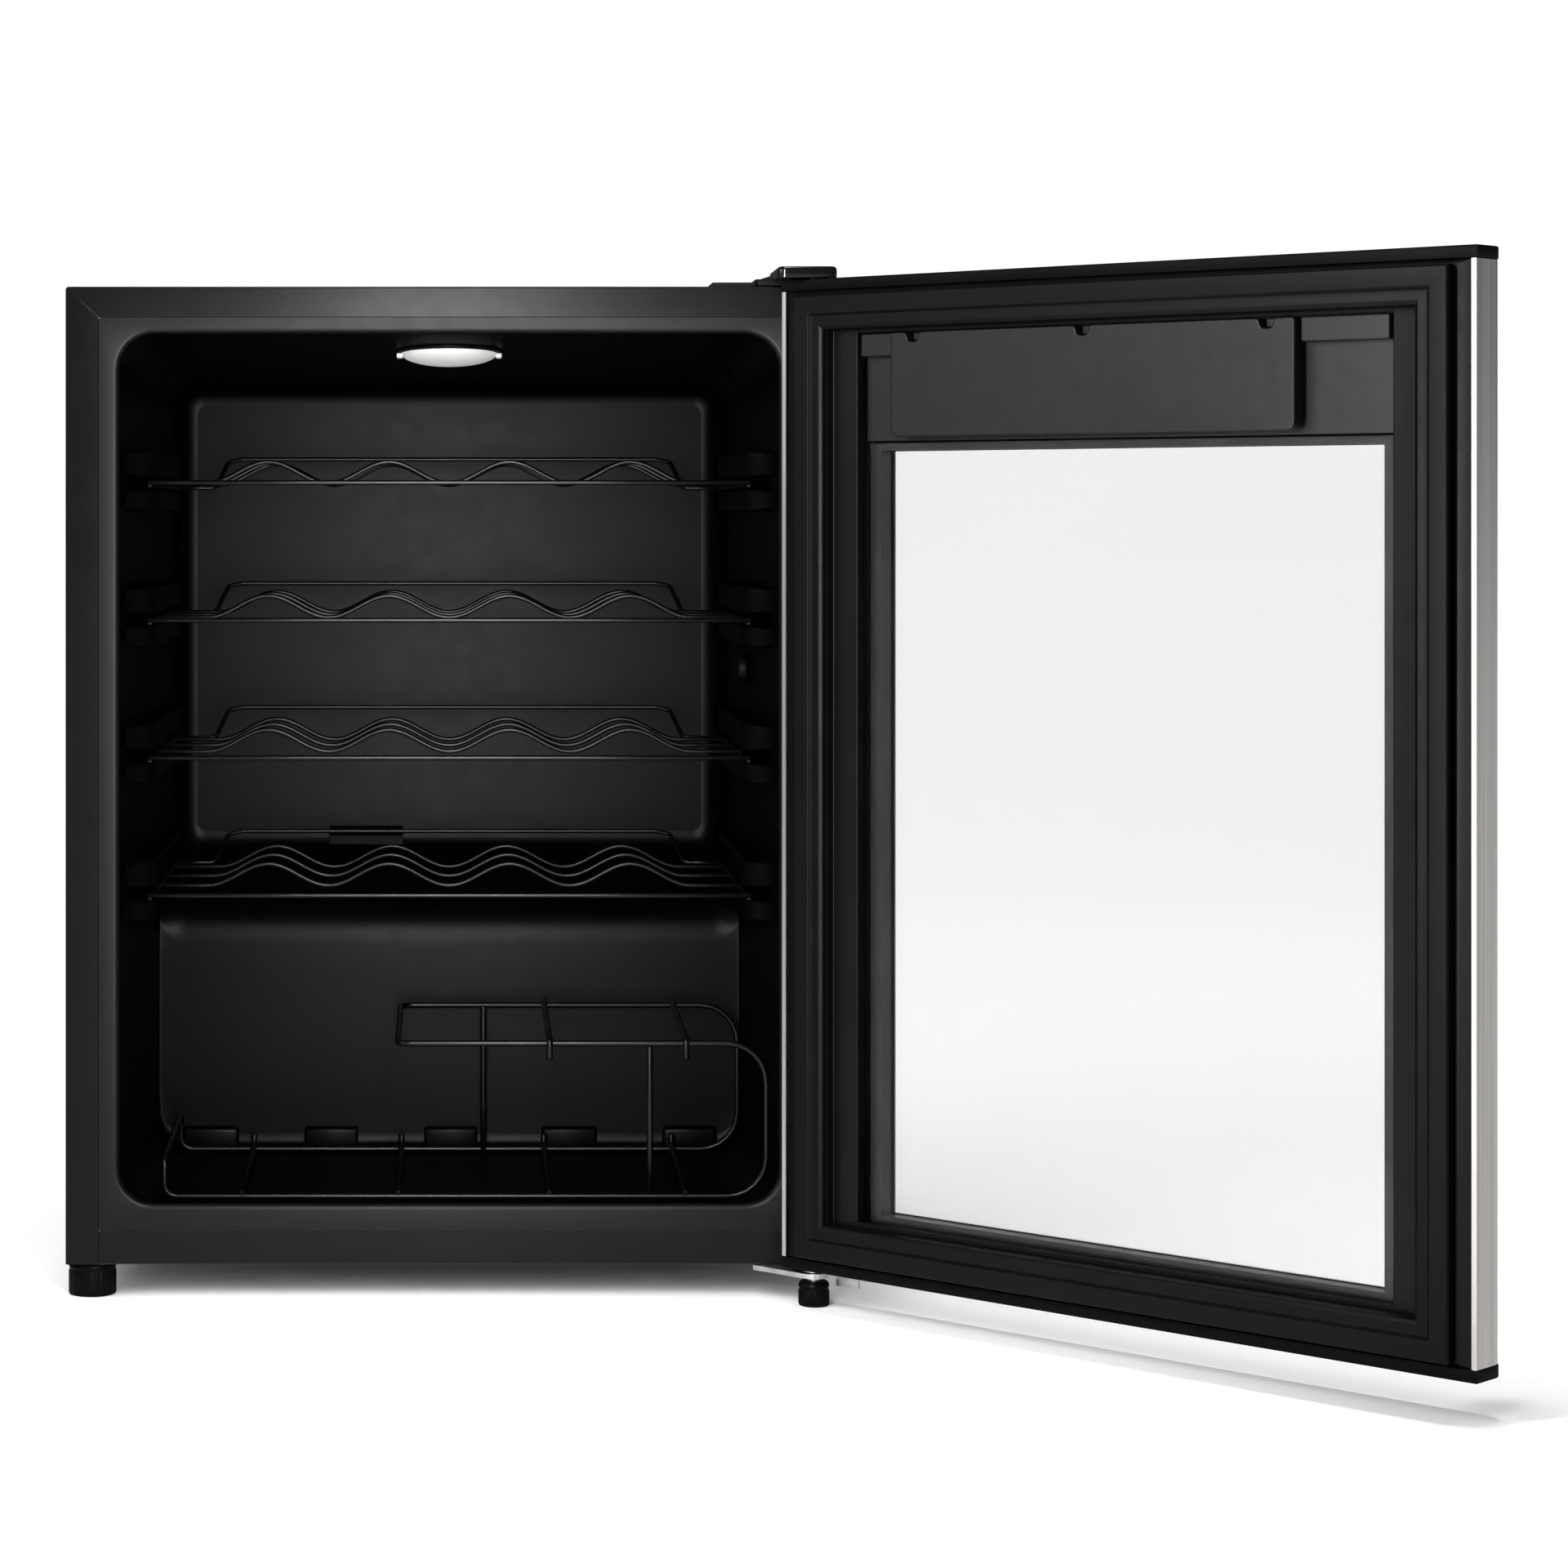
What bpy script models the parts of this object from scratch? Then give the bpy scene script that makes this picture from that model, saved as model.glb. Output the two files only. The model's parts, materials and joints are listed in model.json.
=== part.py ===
"""Counter-height bottle fridge: steel cabinet, moulded liner, glass door, wire shelves and cooling circuit.

Everything is modelled in metres. Inside this file X runs across the cabinet from its centre, Y runs back
from the cabinet's front face and Z runs up from the floor. The root empty moves the whole fridge so that
the world origin is on the floor, under the centre of the front left levelling foot.
"""

import math

import bmesh
import bpy
from mathutils import Vector

# ---------------------------------------------------------------- driving dimensions, in metres
GAP = 0.0003                   # clearance between pieces that touch on the real fridge

CABINET_WIDTH = 0.480
CABINET_HEIGHT = 0.6115
CABINET_DEPTH = 0.400
FLOOR_CLEARANCE = 0.021        # underside of the cabinet above the floor
SHEET = 0.001                  # steel sheet of the cabinet
SIDE_FLANGE = 0.0204           # steel turned in around the front opening
TOP_FLANGE = 0.0189
SILL_HEIGHT = 0.0206

LINER_WALL = 0.0022
LINER_FLANGE = 0.0015          # thickness of the liner's front flange
OPENING_HALF = 0.2065          # half width of the front opening
OPENING_LOW = 0.0586
OPENING_HIGH = 0.6034
OPENING_RADIUS = 0.022
LIP = 0.0035                   # rounding of the opening's edge
LINER_DEPTH = 0.350
LINER_SIDE_DRAFT = 0.0426      # metres narrower per metre of depth, on each side
LINER_TOP_DRAFT = 0.0677
LINER_FLOOR_RISE = 0.02875
SILL_LAND = 0.009              # depth of the flat sill in front of the floor
FLOOR_START = 0.013            # depth at which the floor begins, below the sill
FLOOR_LEVEL = 0.0537           # height of the floor where it begins
BACK_START = 0.335
BACK_RADIUS = 0.016
HUMP_FRONT = 0.222             # the step over the compressor
HUMP_TOP = 0.228
HUMP_RADIUS = 0.030
HUMP_RISE = 0.249
HUMP_FOAM = 0.033
BAY_TOP = 0.2055               # ceiling of the compressor bay

SHELF_LEVELS = (0.5102, 0.4231, 0.3360, 0.2489)
SHELF_FRONT = 0.030
WAVE_SPACING = 0.069
WAVE_PITCH = 0.0786
WAVE_HEIGHT = 0.014
WAVE_PEAKS = 4
SHELF_HALF = 0.1895
SHELF_WIRE = 0.0015
WELD_SINK = 0.0012             # crossing wires run this far into each other where they are welded
WELD = 2 * SHELF_WIRE - WELD_SINK
STOP_DEPTH = 0.310             # the raised wire at the back of a shelf
STOP_HALF = 0.145
STOP_RAISE = 0.0185
RIB_FACE = 0.187               # ribs that carry the shelves reach in to here
RIB_DEPTH = (0.028, 0.330)
LOWEST_RIB_BACK = 0.262        # the lowest rib ends where the step over the compressor rises to it
RIB_PLAY = 0.0008              # under a shelf that rests between its ribs
RIB_HEADROOM = 0.002
RIB_SPANS = ((-0.018, -WELD - SHELF_WIRE - RIB_PLAY), (SHELF_WIRE + RIB_HEADROOM, 0.0205))

PADS = ((-0.180, -0.143), (-0.098, -0.062), (-0.017, 0.019), (0.063, 0.100), (0.145, 0.181))
PAD_TOP = 0.074
PAD_REACH = 0.010

RACK_WIRE = 0.002
RACK_FRONT = 0.040
RACK_BACK = 0.200
RACK_LEFT = -0.181
RACK_RIGHT_FRONT = 0.2015
RACK_RIGHT_BACK = 0.1945
RACK_DECK_LEFT = -0.0327
RACK_DECK = 0.154
RACK_END_RAISE = 0.025
RACK_WIDE_BEND = 0.025
RACK_BEND = 0.008
RACK_FLOOR_BARS = (-0.1318, -0.0322, 0.0638, 0.150)
RACK_DECK_BARS = (0.0638, 0.1504)

LAMP_DEPTH = 0.100
LAMP_RADIUS = 0.0345
LAMP_BASE = 0.0031
LENS_RADIUS = 0.029
LENS_DROP = 0.0066
LENS_WALL = 0.0018
SENSOR_DEPTH = 0.178
SENSOR_HEIGHT = 0.387
SENSOR_RADIUS = 0.011
SENSOR_REACH = 0.007
DRAIN_X = -0.059
DRAIN_DEPTH = 0.338
DRAIN_HOLE = 0.0035
DRAIN_RADIUS = 0.005
DRAIN_WALL = 0.0012

DOOR_SIDE_GAP = 0.001            # the door is this much narrower than the cabinet
DOOR_WIDTH = CABINET_WIDTH - DOOR_SIDE_GAP
DOOR_LOW = 0.0235
DOOR_HIGH = 0.635
DOOR_THICKNESS = 0.032
DOOR_OPEN = 136.0              # degrees that the door stands open at rest
DOOR_EDGE_RADIUS = 0.013
DOOR_SKIN = 0.001
STILE_FACE = 0.0652
STILE_RETURN = 0.003
CAP_THICKNESS = 0.007
CAP_PROUD = 0.0004
PIN_TO_EDGE = 0.0135
PIN_TO_OUTER_FACE = 0.0175       # the corner behind the pin swings clear of the cabinet
DOOR_TO_CABINET = 0.007
TOP_RAIL_LOW = 0.529
BOTTOM_RAIL_HIGH = 0.0617
OUTER_PANE = 0.004
INNER_PANE = 0.0035
PANE_SIDE = 0.052              # from the door's side edge to the outer pane
PANE_LOW = 0.046
PANE_HIGH = 0.545
INNER_PANE_SIDE = 0.0495
INNER_PANE_LOW = 0.0535
INNER_PANE_HIGH = 0.5335
SPACER = 0.008
FRAME_STEP = 0.0543            # from the door's side edge to the pane's visible edge, inside
GASKET_HEIGHT = 0.0062
HOUSING_LOW = 0.5345
HOUSING_HIGH = 0.6005
HOUSING_WALL = 0.002
BLOCK_LOW = 0.586
COVER_SPAN = (-0.3513, -0.0688)
COVER_LOW = 0.537
COVER_HIGH = 0.6003
COVER_PROUD = 0.012
COVER_WALL = 0.002
CLIPS = (-0.0854, -0.2084, -0.3329)
CLIP_WIDTH = 0.010
CLIP_HEIGHT = 0.006
WINDOW_HALF = 0.055
WINDOW_LOW = 0.564
WINDOW_HIGH = 0.598
HANDLE_SPAN = (0.155, 0.505)
HANDLE_RADIUS = 0.006
HANDLE_STANDOFF = 0.035
HANDLE_FROM_EDGE = 0.032
HANDLE_POST = 0.005

PIN_RADIUS = 0.004
BUSH_WALL = 0.00165
PIN_CLEARANCE = 0.00035
BRACKET = 0.0025
LOWER_BRACKET = 0.003
HINGE_PLATE_LOW = 0.6375

LEFT_FOOT_RADIUS = 0.015
LEFT_FOOT_FROM_SIDE = 0.0155
LEFT_FOOT_X = LEFT_FOOT_FROM_SIDE - CABINET_WIDTH / 2
LEFT_FOOT_Y = 0.017
RIGHT_FOOT_RADIUS = 0.0096
REAR_FOOT_RADIUS = 0.012
REAR_FOOT_X = 0.200
REAR_FOOT_Y = 0.382
STEM_RADIUS = 0.004
STEM_CLEARANCE = 0.0004

COIL_STANDOFF = 0.0125
COIL_WIRE = 0.0025
COIL_PASSES = 12
COIL_PITCH = 0.033
COIL_HALF = 0.180
COIL_LOW = 0.236
STRAP_X = 0.150
COMPRESSOR_X = -0.080
COMPRESSOR_Y = 0.331
COMPRESSOR_HEIGHT = 0.132
COMPRESSOR_HALF = (0.070, 0.054)
COMPRESSOR_FEET = (0.082, 0.050)
TRAY_SHEET = 0.002
GROMMET_HEIGHT = 0.0144
GLAND_X = 0.160
GLAND_HEIGHT = 0.045

# ---------------------------------------------------------------- places that follow from them
HALF = CABINET_WIDTH / 2
BODY_LOW = FLOOR_CLEARANCE
BODY_HIGH = FLOOR_CLEARANCE + CABINET_HEIGHT
INSIDE_HALF = HALF - SHEET - GAP
BAY_FRONT = HUMP_FRONT + LINER_WALL + HUMP_FOAM
PIN_X = DOOR_WIDTH / 2 - PIN_TO_EDGE
PIN_TO_INNER_FACE = DOOR_THICKNESS - PIN_TO_OUTER_FACE
PIN_Y = -DOOR_TO_CABINET - PIN_TO_INNER_FACE
INNER_FACE = PIN_TO_INNER_FACE           # the door's inner face, in the door's own frame
OUTER_FACE = INNER_FACE - DOOR_THICKNESS
HINGE_EDGE = PIN_TO_EDGE
FREE_EDGE = PIN_TO_EDGE - DOOR_WIDTH
COIL_Y = CABINET_DEPTH + COIL_STANDOFF
TRAY_TOP = BODY_LOW + TRAY_SHEET
PLATE_TOP = BODY_LOW - GAP
COMPRESSOR_BASE = TRAY_TOP + GROMMET_HEIGHT + GAP * 2

FINISHES = {                   # colour, roughness, metallic
    "black_enamel": ((0.035, 0.035, 0.037), 0.38, 0.0),
    "black_liner": ((0.020, 0.020, 0.021), 0.45, 0.0),
    "black_plastic": ((0.025, 0.025, 0.026), 0.50, 0.0),
    "black_rubber": ((0.030, 0.030, 0.030), 0.70, 0.0),
    "black_wire": ((0.015, 0.015, 0.015), 0.40, 0.0),
    "galvanised": ((0.48, 0.49, 0.50), 0.45, 0.9),
    "brushed_steel": ((0.62, 0.61, 0.59), 0.32, 1.0),
    "zinc": ((0.66, 0.66, 0.65), 0.35, 1.0),
    "copper": ((0.75, 0.42, 0.28), 0.35, 1.0),
    "aluminium": ((0.75, 0.76, 0.77), 0.40, 1.0),
    "glass": ((0.85, 0.90, 0.88), 0.05, 0.0),
    "smoked": ((0.010, 0.010, 0.012), 0.08, 0.0),
    "opal": ((0.90, 0.90, 0.88), 0.35, 0.0),
    "foam": ((0.85, 0.80, 0.62), 0.90, 0.0),
    "circuit": ((0.05, 0.22, 0.10), 0.55, 0.0),
}


# ---------------------------------------------------------------- scene and shape helpers
def clear_scene():
    for obj in list(bpy.data.objects):
        bpy.data.objects.remove(obj, do_unlink=True)


def finish(name):
    """The Principled material of a finish, made the first time it is asked for."""
    material = bpy.data.materials.get(name)
    if material:
        return material
    colour, roughness, metallic = FINISHES[name]
    material = bpy.data.materials.new(name)
    material.use_nodes = True
    shader = material.node_tree.nodes["Principled BSDF"]
    shader.inputs["Base Color"].default_value = (*colour, 1.0)
    shader.inputs["Roughness"].default_value = roughness
    shader.inputs["Metallic"].default_value = metallic
    return material


def place(name, mesh, look, parent, location=(0, 0, 0)):
    """Links a mesh as an object of its own under a parent."""
    obj = bpy.data.objects.new(name, mesh)
    bpy.context.scene.collection.objects.link(obj)
    obj.parent = parent
    obj.location = location
    if look and not mesh.materials:
        mesh.materials.append(finish(look))
    return obj


def solid(name, points, faces, look, parent, location=(0, 0, 0), smooth=False):
    """A closed body from its points and faces, turned so that every face points out."""
    mesh = bpy.data.meshes.new(name)
    shape = bmesh.new()
    corners = [shape.verts.new(point) for point in points]
    for face in faces:
        shape.faces.new([corners[index] for index in face])
    bmesh.ops.recalc_face_normals(shape, faces=shape.faces)
    shape.to_mesh(mesh)
    shape.free()
    if smooth:
        mesh.shade_smooth()
        mesh.set_sharp_from_angle(angle=math.radians(35))
    return place(name, mesh, look, parent, location)


def strips(rows, count, first_row=0):
    """Quads between neighbouring rings of points, each ring closed on itself."""
    faces = []
    for row in rows:
        for index in range(count):
            after = (index + 1) % count
            low = row[0] * count + first_row
            high = row[1] * count + first_row
            faces.append((low + index, low + after, high + after, high + index))
    return faces


def loft(name, rings, look, parent, location=(0, 0, 0), smooth=True):
    """A body through a row of rings with equal numbers of points, closed by a flat face at each end."""
    count = len(rings[0])
    points = [point for ring in rings for point in ring]
    faces = strips([(row, row + 1) for row in range(len(rings) - 1)], count)
    last = (len(rings) - 1) * count
    faces.append(tuple(range(count)))
    faces.append(tuple(last + index for index in range(count)))
    return solid(name, points, faces, look, parent, location, smooth)


def loop(name, rings, look, parent, location=(0, 0, 0), smooth=False):
    """A body through a closed row of rings, such as a frame or a collar."""
    count = len(rings[0])
    points = [point for ring in rings for point in ring]
    faces = strips([(row, (row + 1) % len(rings)) for row in range(len(rings))], count)
    return solid(name, points, faces, look, parent, location, smooth)


def prism(name, outline, axis, low, high, look, parent, location=(0, 0, 0), smooth=False):
    """An outline carried along one axis: the outline holds the other two coordinates, in X, Y, Z order."""
    def point(pair, along):
        first, second = pair
        return {"X": (along, first, second), "Y": (first, along, second), "Z": (first, second, along)}[axis]
    rings = [[point(pair, along) for pair in outline] for along in (low, high)]
    return loft(name, rings, look, parent, location, smooth)


def block(name, low, high, look, parent, location=(0, 0, 0)):
    outline = ((low[0], low[1]), (high[0], low[1]), (high[0], high[1]), (low[0], high[1]))
    return prism(name, outline, "Z", low[2], high[2], look, parent, location)


def circle(radius, height, sides, axis="Z"):
    """A ring of points around the Z axis, or around the Y axis."""
    angles = [2 * math.pi * i / sides for i in range(sides)]
    if axis == "Y":
        return [(radius * math.cos(a), height, radius * math.sin(a)) for a in angles]
    return [(radius * math.cos(a), radius * math.sin(a), height) for a in angles]


def turned(name, profile, sides, look, parent, location=(0, 0, 0), axis="Z"):
    """A full round from (radius, height) pairs, bottom to top."""
    return loft(name, [circle(*pair, sides, axis) for pair in profile], look, parent, location)


def collar(name, profile, sides, look, parent, location=(0, 0, 0), axis="Z"):
    """A round ring from a closed profile of (radius, height) pairs."""
    return loop(name, [circle(*pair, sides, axis) for pair in profile], look, parent, location, smooth=True)


def tube_profile(outer, inner, low, high):
    return ((outer, low), (outer, high), (inner, high), (inner, low))


def arc(centre, radius, start, end, steps):
    """Points on a circle from one angle to another, in degrees."""
    angles = [math.radians(start + (end - start) * i / steps) for i in range(steps + 1)]
    return [(centre[0] + radius * math.cos(a), centre[1] + radius * math.sin(a)) for a in angles]


def bent(points, radii, steps=3, closed=False):
    """A path through the points with each corner replaced by a bend; radii is one number or one per point."""
    corners = [Vector(point) for point in points]
    count = len(corners)
    sizes = [radii] * count if isinstance(radii, (int, float)) else radii
    path = []
    for index, corner in enumerate(corners):
        if not closed and index in (0, count - 1):
            path.append(corner)
            continue
        back = (corners[index - 1] - corner).normalized()
        ahead = (corners[(index + 1) % count] - corner).normalized()
        angle = back.angle(ahead)
        reach = sizes[index] / math.tan(angle / 2)
        centre = corner + (back + ahead).normalized() * sizes[index] / math.sin(angle / 2)
        first = corner + back * reach - centre
        last = corner + ahead * reach - centre
        sweep = first.angle(last)
        for step in range(steps + 1):
            share = step / steps
            path.append(centre + (first * math.sin((1 - share) * sweep) + last * math.sin(share * sweep))
                        / math.sin(sweep))
    return path


def wire(name, path, radius, look, parent, closed=False, resolution=0):
    """A round bar along a path: a curve with a bevel and filled ends, kept as a mesh."""
    curve = bpy.data.curves.new(name, "CURVE")
    curve.dimensions = "3D"
    curve.bevel_depth = radius
    curve.bevel_resolution = resolution
    curve.use_fill_caps = not closed
    spline = curve.splines.new("POLY")
    spline.points.add(len(path) - 1)
    for point, spot in zip(spline.points, path):
        point.co = (*spot, 1.0)
    spline.use_cyclic_u = closed
    guide = bpy.data.objects.new(name, curve)
    mesh = bpy.data.meshes.new_from_object(guide)
    bpy.data.objects.remove(guide, do_unlink=True)
    shape = bmesh.new()
    shape.from_mesh(mesh)
    bmesh.ops.remove_doubles(shape, verts=shape.verts, dist=1e-6)
    bmesh.ops.recalc_face_normals(shape, faces=shape.faces)
    shape.to_mesh(mesh)
    shape.free()
    mesh.shade_smooth()
    mesh.set_sharp_from_angle(angle=math.radians(65))
    return place(name, mesh, look, parent)


def combine(target, operation, others):
    """Adds an exact Boolean for each other object and keeps those objects as guides only."""
    for other in others:
        other.hide_render = True
        other.display_type = "WIRE"
        step = target.modifiers.new(f"{operation.lower()}_{other.name}", "BOOLEAN")
        step.operation = operation
        step.solver = "EXACT"
        step.object = other
    return target


def cut(target, *others):
    return combine(target, "DIFFERENCE", others)


def unite(target, *others):
    return combine(target, "UNION", others)


def baked(obj):
    """The object's mesh with its modifiers applied, for pieces that share one shape."""
    bpy.context.view_layer.update()
    return bpy.data.meshes.new_from_object(obj.evaluated_get(bpy.context.evaluated_depsgraph_get()))


# ---------------------------------------------------------------- the cabinet's steel
def arch(inset_side, inset_top):
    """A U of constant width that opens downwards, as X and Z."""
    return ((-HALF, BODY_LOW), (-HALF, BODY_HIGH), (HALF, BODY_HIGH), (HALF, BODY_LOW),
            (HALF - inset_side, BODY_LOW), (HALF - inset_side, BODY_HIGH - inset_top),
            (-HALF + inset_side, BODY_HIGH - inset_top), (-HALF + inset_side, BODY_LOW))


def make_steel(root):
    wrap = prism("outer_wrap", arch(SHEET, SHEET), "Y", 0, CABINET_DEPTH, "black_enamel", root)
    unite(wrap, prism("wrap_flange", arch(SIDE_FLANGE, TOP_FLANGE), "Y", 0, SHEET, None, root))

    sill_half = HALF - SIDE_FLANGE - GAP
    block("front_sill", (-sill_half, 0, BODY_LOW + GAP), (sill_half, SHEET, BODY_LOW + SILL_HEIGHT),
          "black_enamel", root)
    pan = block("base_pan", (-INSIDE_HALF, SHEET + GAP, BODY_LOW), (INSIDE_HALF, BAY_FRONT - GAP, BODY_LOW + SHEET),
                "galvanised", root)
    cut(pan, turned("pan_stem_hole", ((STEM_RADIUS + STEM_CLEARANCE, 0), (STEM_RADIUS + STEM_CLEARANCE, 0.1)),
                    16, None, root, (LEFT_FOOT_X, LEFT_FOOT_Y, 0)))
    block("rear_panel", (-INSIDE_HALF, CABINET_DEPTH - SHEET, BAY_TOP + GAP),
          (INSIDE_HALF, CABINET_DEPTH, BODY_HIGH - SHEET - GAP), "black_enamel", root)

    step = ((BAY_FRONT, BODY_LOW), (BAY_FRONT + SHEET, BODY_LOW), (BAY_FRONT + SHEET, BAY_TOP - SHEET),
            (CABINET_DEPTH, BAY_TOP - SHEET), (CABINET_DEPTH, BAY_TOP), (BAY_FRONT, BAY_TOP))
    bay = prism("bay_panel", step, "X", -INSIDE_HALF, INSIDE_HALF, "galvanised", root)
    cut(bay, turned("bay_drain_hole", ((DRAIN_RADIUS + GAP, BAY_TOP - 0.01), (DRAIN_RADIUS + GAP, BAY_TOP + 0.01)),
                    16, None, root, (DRAIN_X, DRAIN_DEPTH, 0)))

    tray = block("compressor_tray", (-INSIDE_HALF, BAY_FRONT + SHEET + GAP, BODY_LOW),
                 (INSIDE_HALF, CABINET_DEPTH, TRAY_TOP), "galvanised", root)
    tab_half = 0.020
    tab_top = GLAND_HEIGHT + tab_half
    unite(tray, block("tray_tab", (GLAND_X - tab_half, CABINET_DEPTH - SHEET * 1.5, BODY_LOW + SHEET),
                      (GLAND_X + tab_half, CABINET_DEPTH - SHEET * 0.5, tab_top), None, root))
    for side in (-1, 1):
        cut(tray, turned(f"tray_stem_hole_{side}", ((STEM_RADIUS + STEM_CLEARANCE, 0),
                                                   (STEM_RADIUS + STEM_CLEARANCE, 0.1)),
                         16, None, root, (side * REAR_FOOT_X, REAR_FOOT_Y, 0)))
    neck = 0.0065
    cut(tray, turned("gland_hole", ((neck + GAP, CABINET_DEPTH - 0.01), (neck + GAP, CABINET_DEPTH + 0.01)),
                     16, None, root, (GLAND_X, 0, GLAND_HEIGHT), "Y"))
    inner, flange = 0.0035, 0.010
    front = CABINET_DEPTH - SHEET * 1.5 - GAP
    back = CABINET_DEPTH - SHEET * 0.5 + GAP
    collar("cord_gland", ((inner, front - 0.006), (neck, front - 0.006), (neck, back), (flange, back),
                          (flange, back + 0.0025), (inner, back + 0.0025)), 16, "black_rubber", root,
           (GLAND_X, 0, GLAND_HEIGHT), "Y")


# ---------------------------------------------------------------- the moulded liner and its foam
def liner_half(depth):
    return OPENING_HALF - LINER_SIDE_DRAFT * depth


def liner_high(depth):
    return OPENING_HIGH - LINER_TOP_DRAFT * depth


def liner_low(depth):
    return FLOOR_LEVEL + LINER_FLOOR_RISE * (depth - FLOOR_START)


def hump_top(depth):
    return HUMP_TOP + HUMP_RISE * (depth - HUMP_FRONT - HUMP_RADIUS)


def round_rectangle(half, low, high, radius, depth, steps=4):
    """A rectangle with round corners in the XZ plane at one depth."""
    corners = ((half - radius, high - radius, 0), (-half + radius, high - radius, 90),
               (-half + radius, low + radius, 180), (half - radius, low + radius, 270))
    pairs = [pair for x, z, start in corners for pair in arc((x, z), radius, start, start + 90, steps)]
    return [(x, depth, z) for x, z in pairs]


def liner_ring(depth, low, radius, grow, inset=0.0):
    """One ring of the liner's space: drafted walls, a floor height, grown out by a wall or drawn in at the back."""
    change = grow - inset
    return round_rectangle(liner_half(depth) + change, low - change, liner_high(depth) + change,
                           radius + grow, depth)


def liner_rings(grow, front):
    """Rings of the liner's space from front to back, grown outwards by a wall's thickness."""
    back = LINER_DEPTH - 0.004
    rings = [
        round_rectangle(OPENING_HALF + LIP + grow / 2, OPENING_LOW - LIP - grow / 2,
                        OPENING_HIGH + LIP + grow / 2, OPENING_RADIUS + LIP + grow, front),
        liner_ring(LIP, OPENING_LOW, OPENING_RADIUS, grow),
        liner_ring(SILL_LAND, OPENING_LOW, OPENING_RADIUS, grow),
        liner_ring(FLOOR_START, FLOOR_LEVEL, OPENING_RADIUS, grow),
        liner_ring(BACK_START, liner_low(BACK_START), BACK_RADIUS, grow),
        liner_ring(back, liner_low(back), BACK_RADIUS - 0.003, grow, 0.003),
    ]
    last = liner_ring(LINER_DEPTH, liner_low(LINER_DEPTH), BACK_RADIUS - 0.010, grow, 0.010)
    rings.append([(x, y + grow, z) for x, y, z in last])
    return rings


def hump(name, shrink, root):
    """The block over the compressor bay, smaller by a wall's thickness where a wall goes round it."""
    reach = LINER_DEPTH + 0.05
    front = HUMP_FRONT + shrink
    turn = (HUMP_FRONT + HUMP_RADIUS, HUMP_TOP - HUMP_RADIUS)
    outline = ([(front, 0.0)] + arc(turn, HUMP_RADIUS - shrink, 180, 90, 5)
               + [(reach, hump_top(reach) - shrink), (reach, 0.0)])
    return prism(name, outline, "X", -HALF - 0.05, HALF + 0.05, None, root)


def rib(name, side, low, high, back, root):
    """One shelf rib: flat inner face, outer face that follows the wall's draft inside its thickness."""
    rings = []
    for depth in (RIB_DEPTH[0], back):
        wall = liner_half(depth) + LINER_WALL / 2
        rings.append([(side * x, depth, z) for x, z in ((RIB_FACE, low), (wall, low), (wall, high), (RIB_FACE, high))])
    return loft(name, rings, None, root, smooth=False)


def make_liner(root):
    flange_half = HALF - SIDE_FLANGE - GAP
    flange = [round_rectangle(flange_half, BODY_LOW + SILL_HEIGHT + GAP, BODY_HIGH - TOP_FLANGE - GAP,
                              0.002, depth) for depth in (0, LINER_FLANGE)]
    liner = loft("inner_liner", flange + liner_rings(LINER_WALL, LINER_FLANGE), "black_liner", root)
    cut(liner, hump("liner_back_of_hump", LINER_WALL, root))
    mouth = round_rectangle(OPENING_HALF + LIP + 0.001, OPENING_LOW - LIP - 0.001, OPENING_HIGH + LIP + 0.001,
                            OPENING_RADIUS + LIP, -0.001)
    space = loft("liner_space", [mouth] + liner_rings(0, 0), None, root)
    cut(space, hump("liner_hump", 0, root))
    cut(liner, space)
    for number, level in enumerate(SHELF_LEVELS):
        for side in (-1, 1):
            for span, (low, high) in enumerate(RIB_SPANS):
                back = LOWEST_RIB_BACK if level + low < HUMP_TOP + 0.010 else RIB_DEPTH[1]
                unite(liner, rib(f"rib_{number}_{side}_{span}", side, level + low, level + high, back, root))
    floor = liner_low(HUMP_FRONT - PAD_REACH) - LINER_WALL / 2
    for number, (left, right) in enumerate(PADS):
        unite(liner, block(f"pad_{number}", (left, HUMP_FRONT - PAD_REACH, floor),
                           (right, HUMP_FRONT + LINER_WALL / 2, PAD_TOP), None, root))
    cut(liner, turned("liner_drain_hole", ((DRAIN_HOLE, 0.22), (DRAIN_HOLE, 0.27)), 12, None, root,
                      (DRAIN_X, DRAIN_DEPTH, 0)))


def evaporator_box():
    front = LINER_DEPTH + LINER_WALL + GAP
    return (-0.140, front, 0.290), (0.140, front + 0.002, 0.545)


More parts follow.
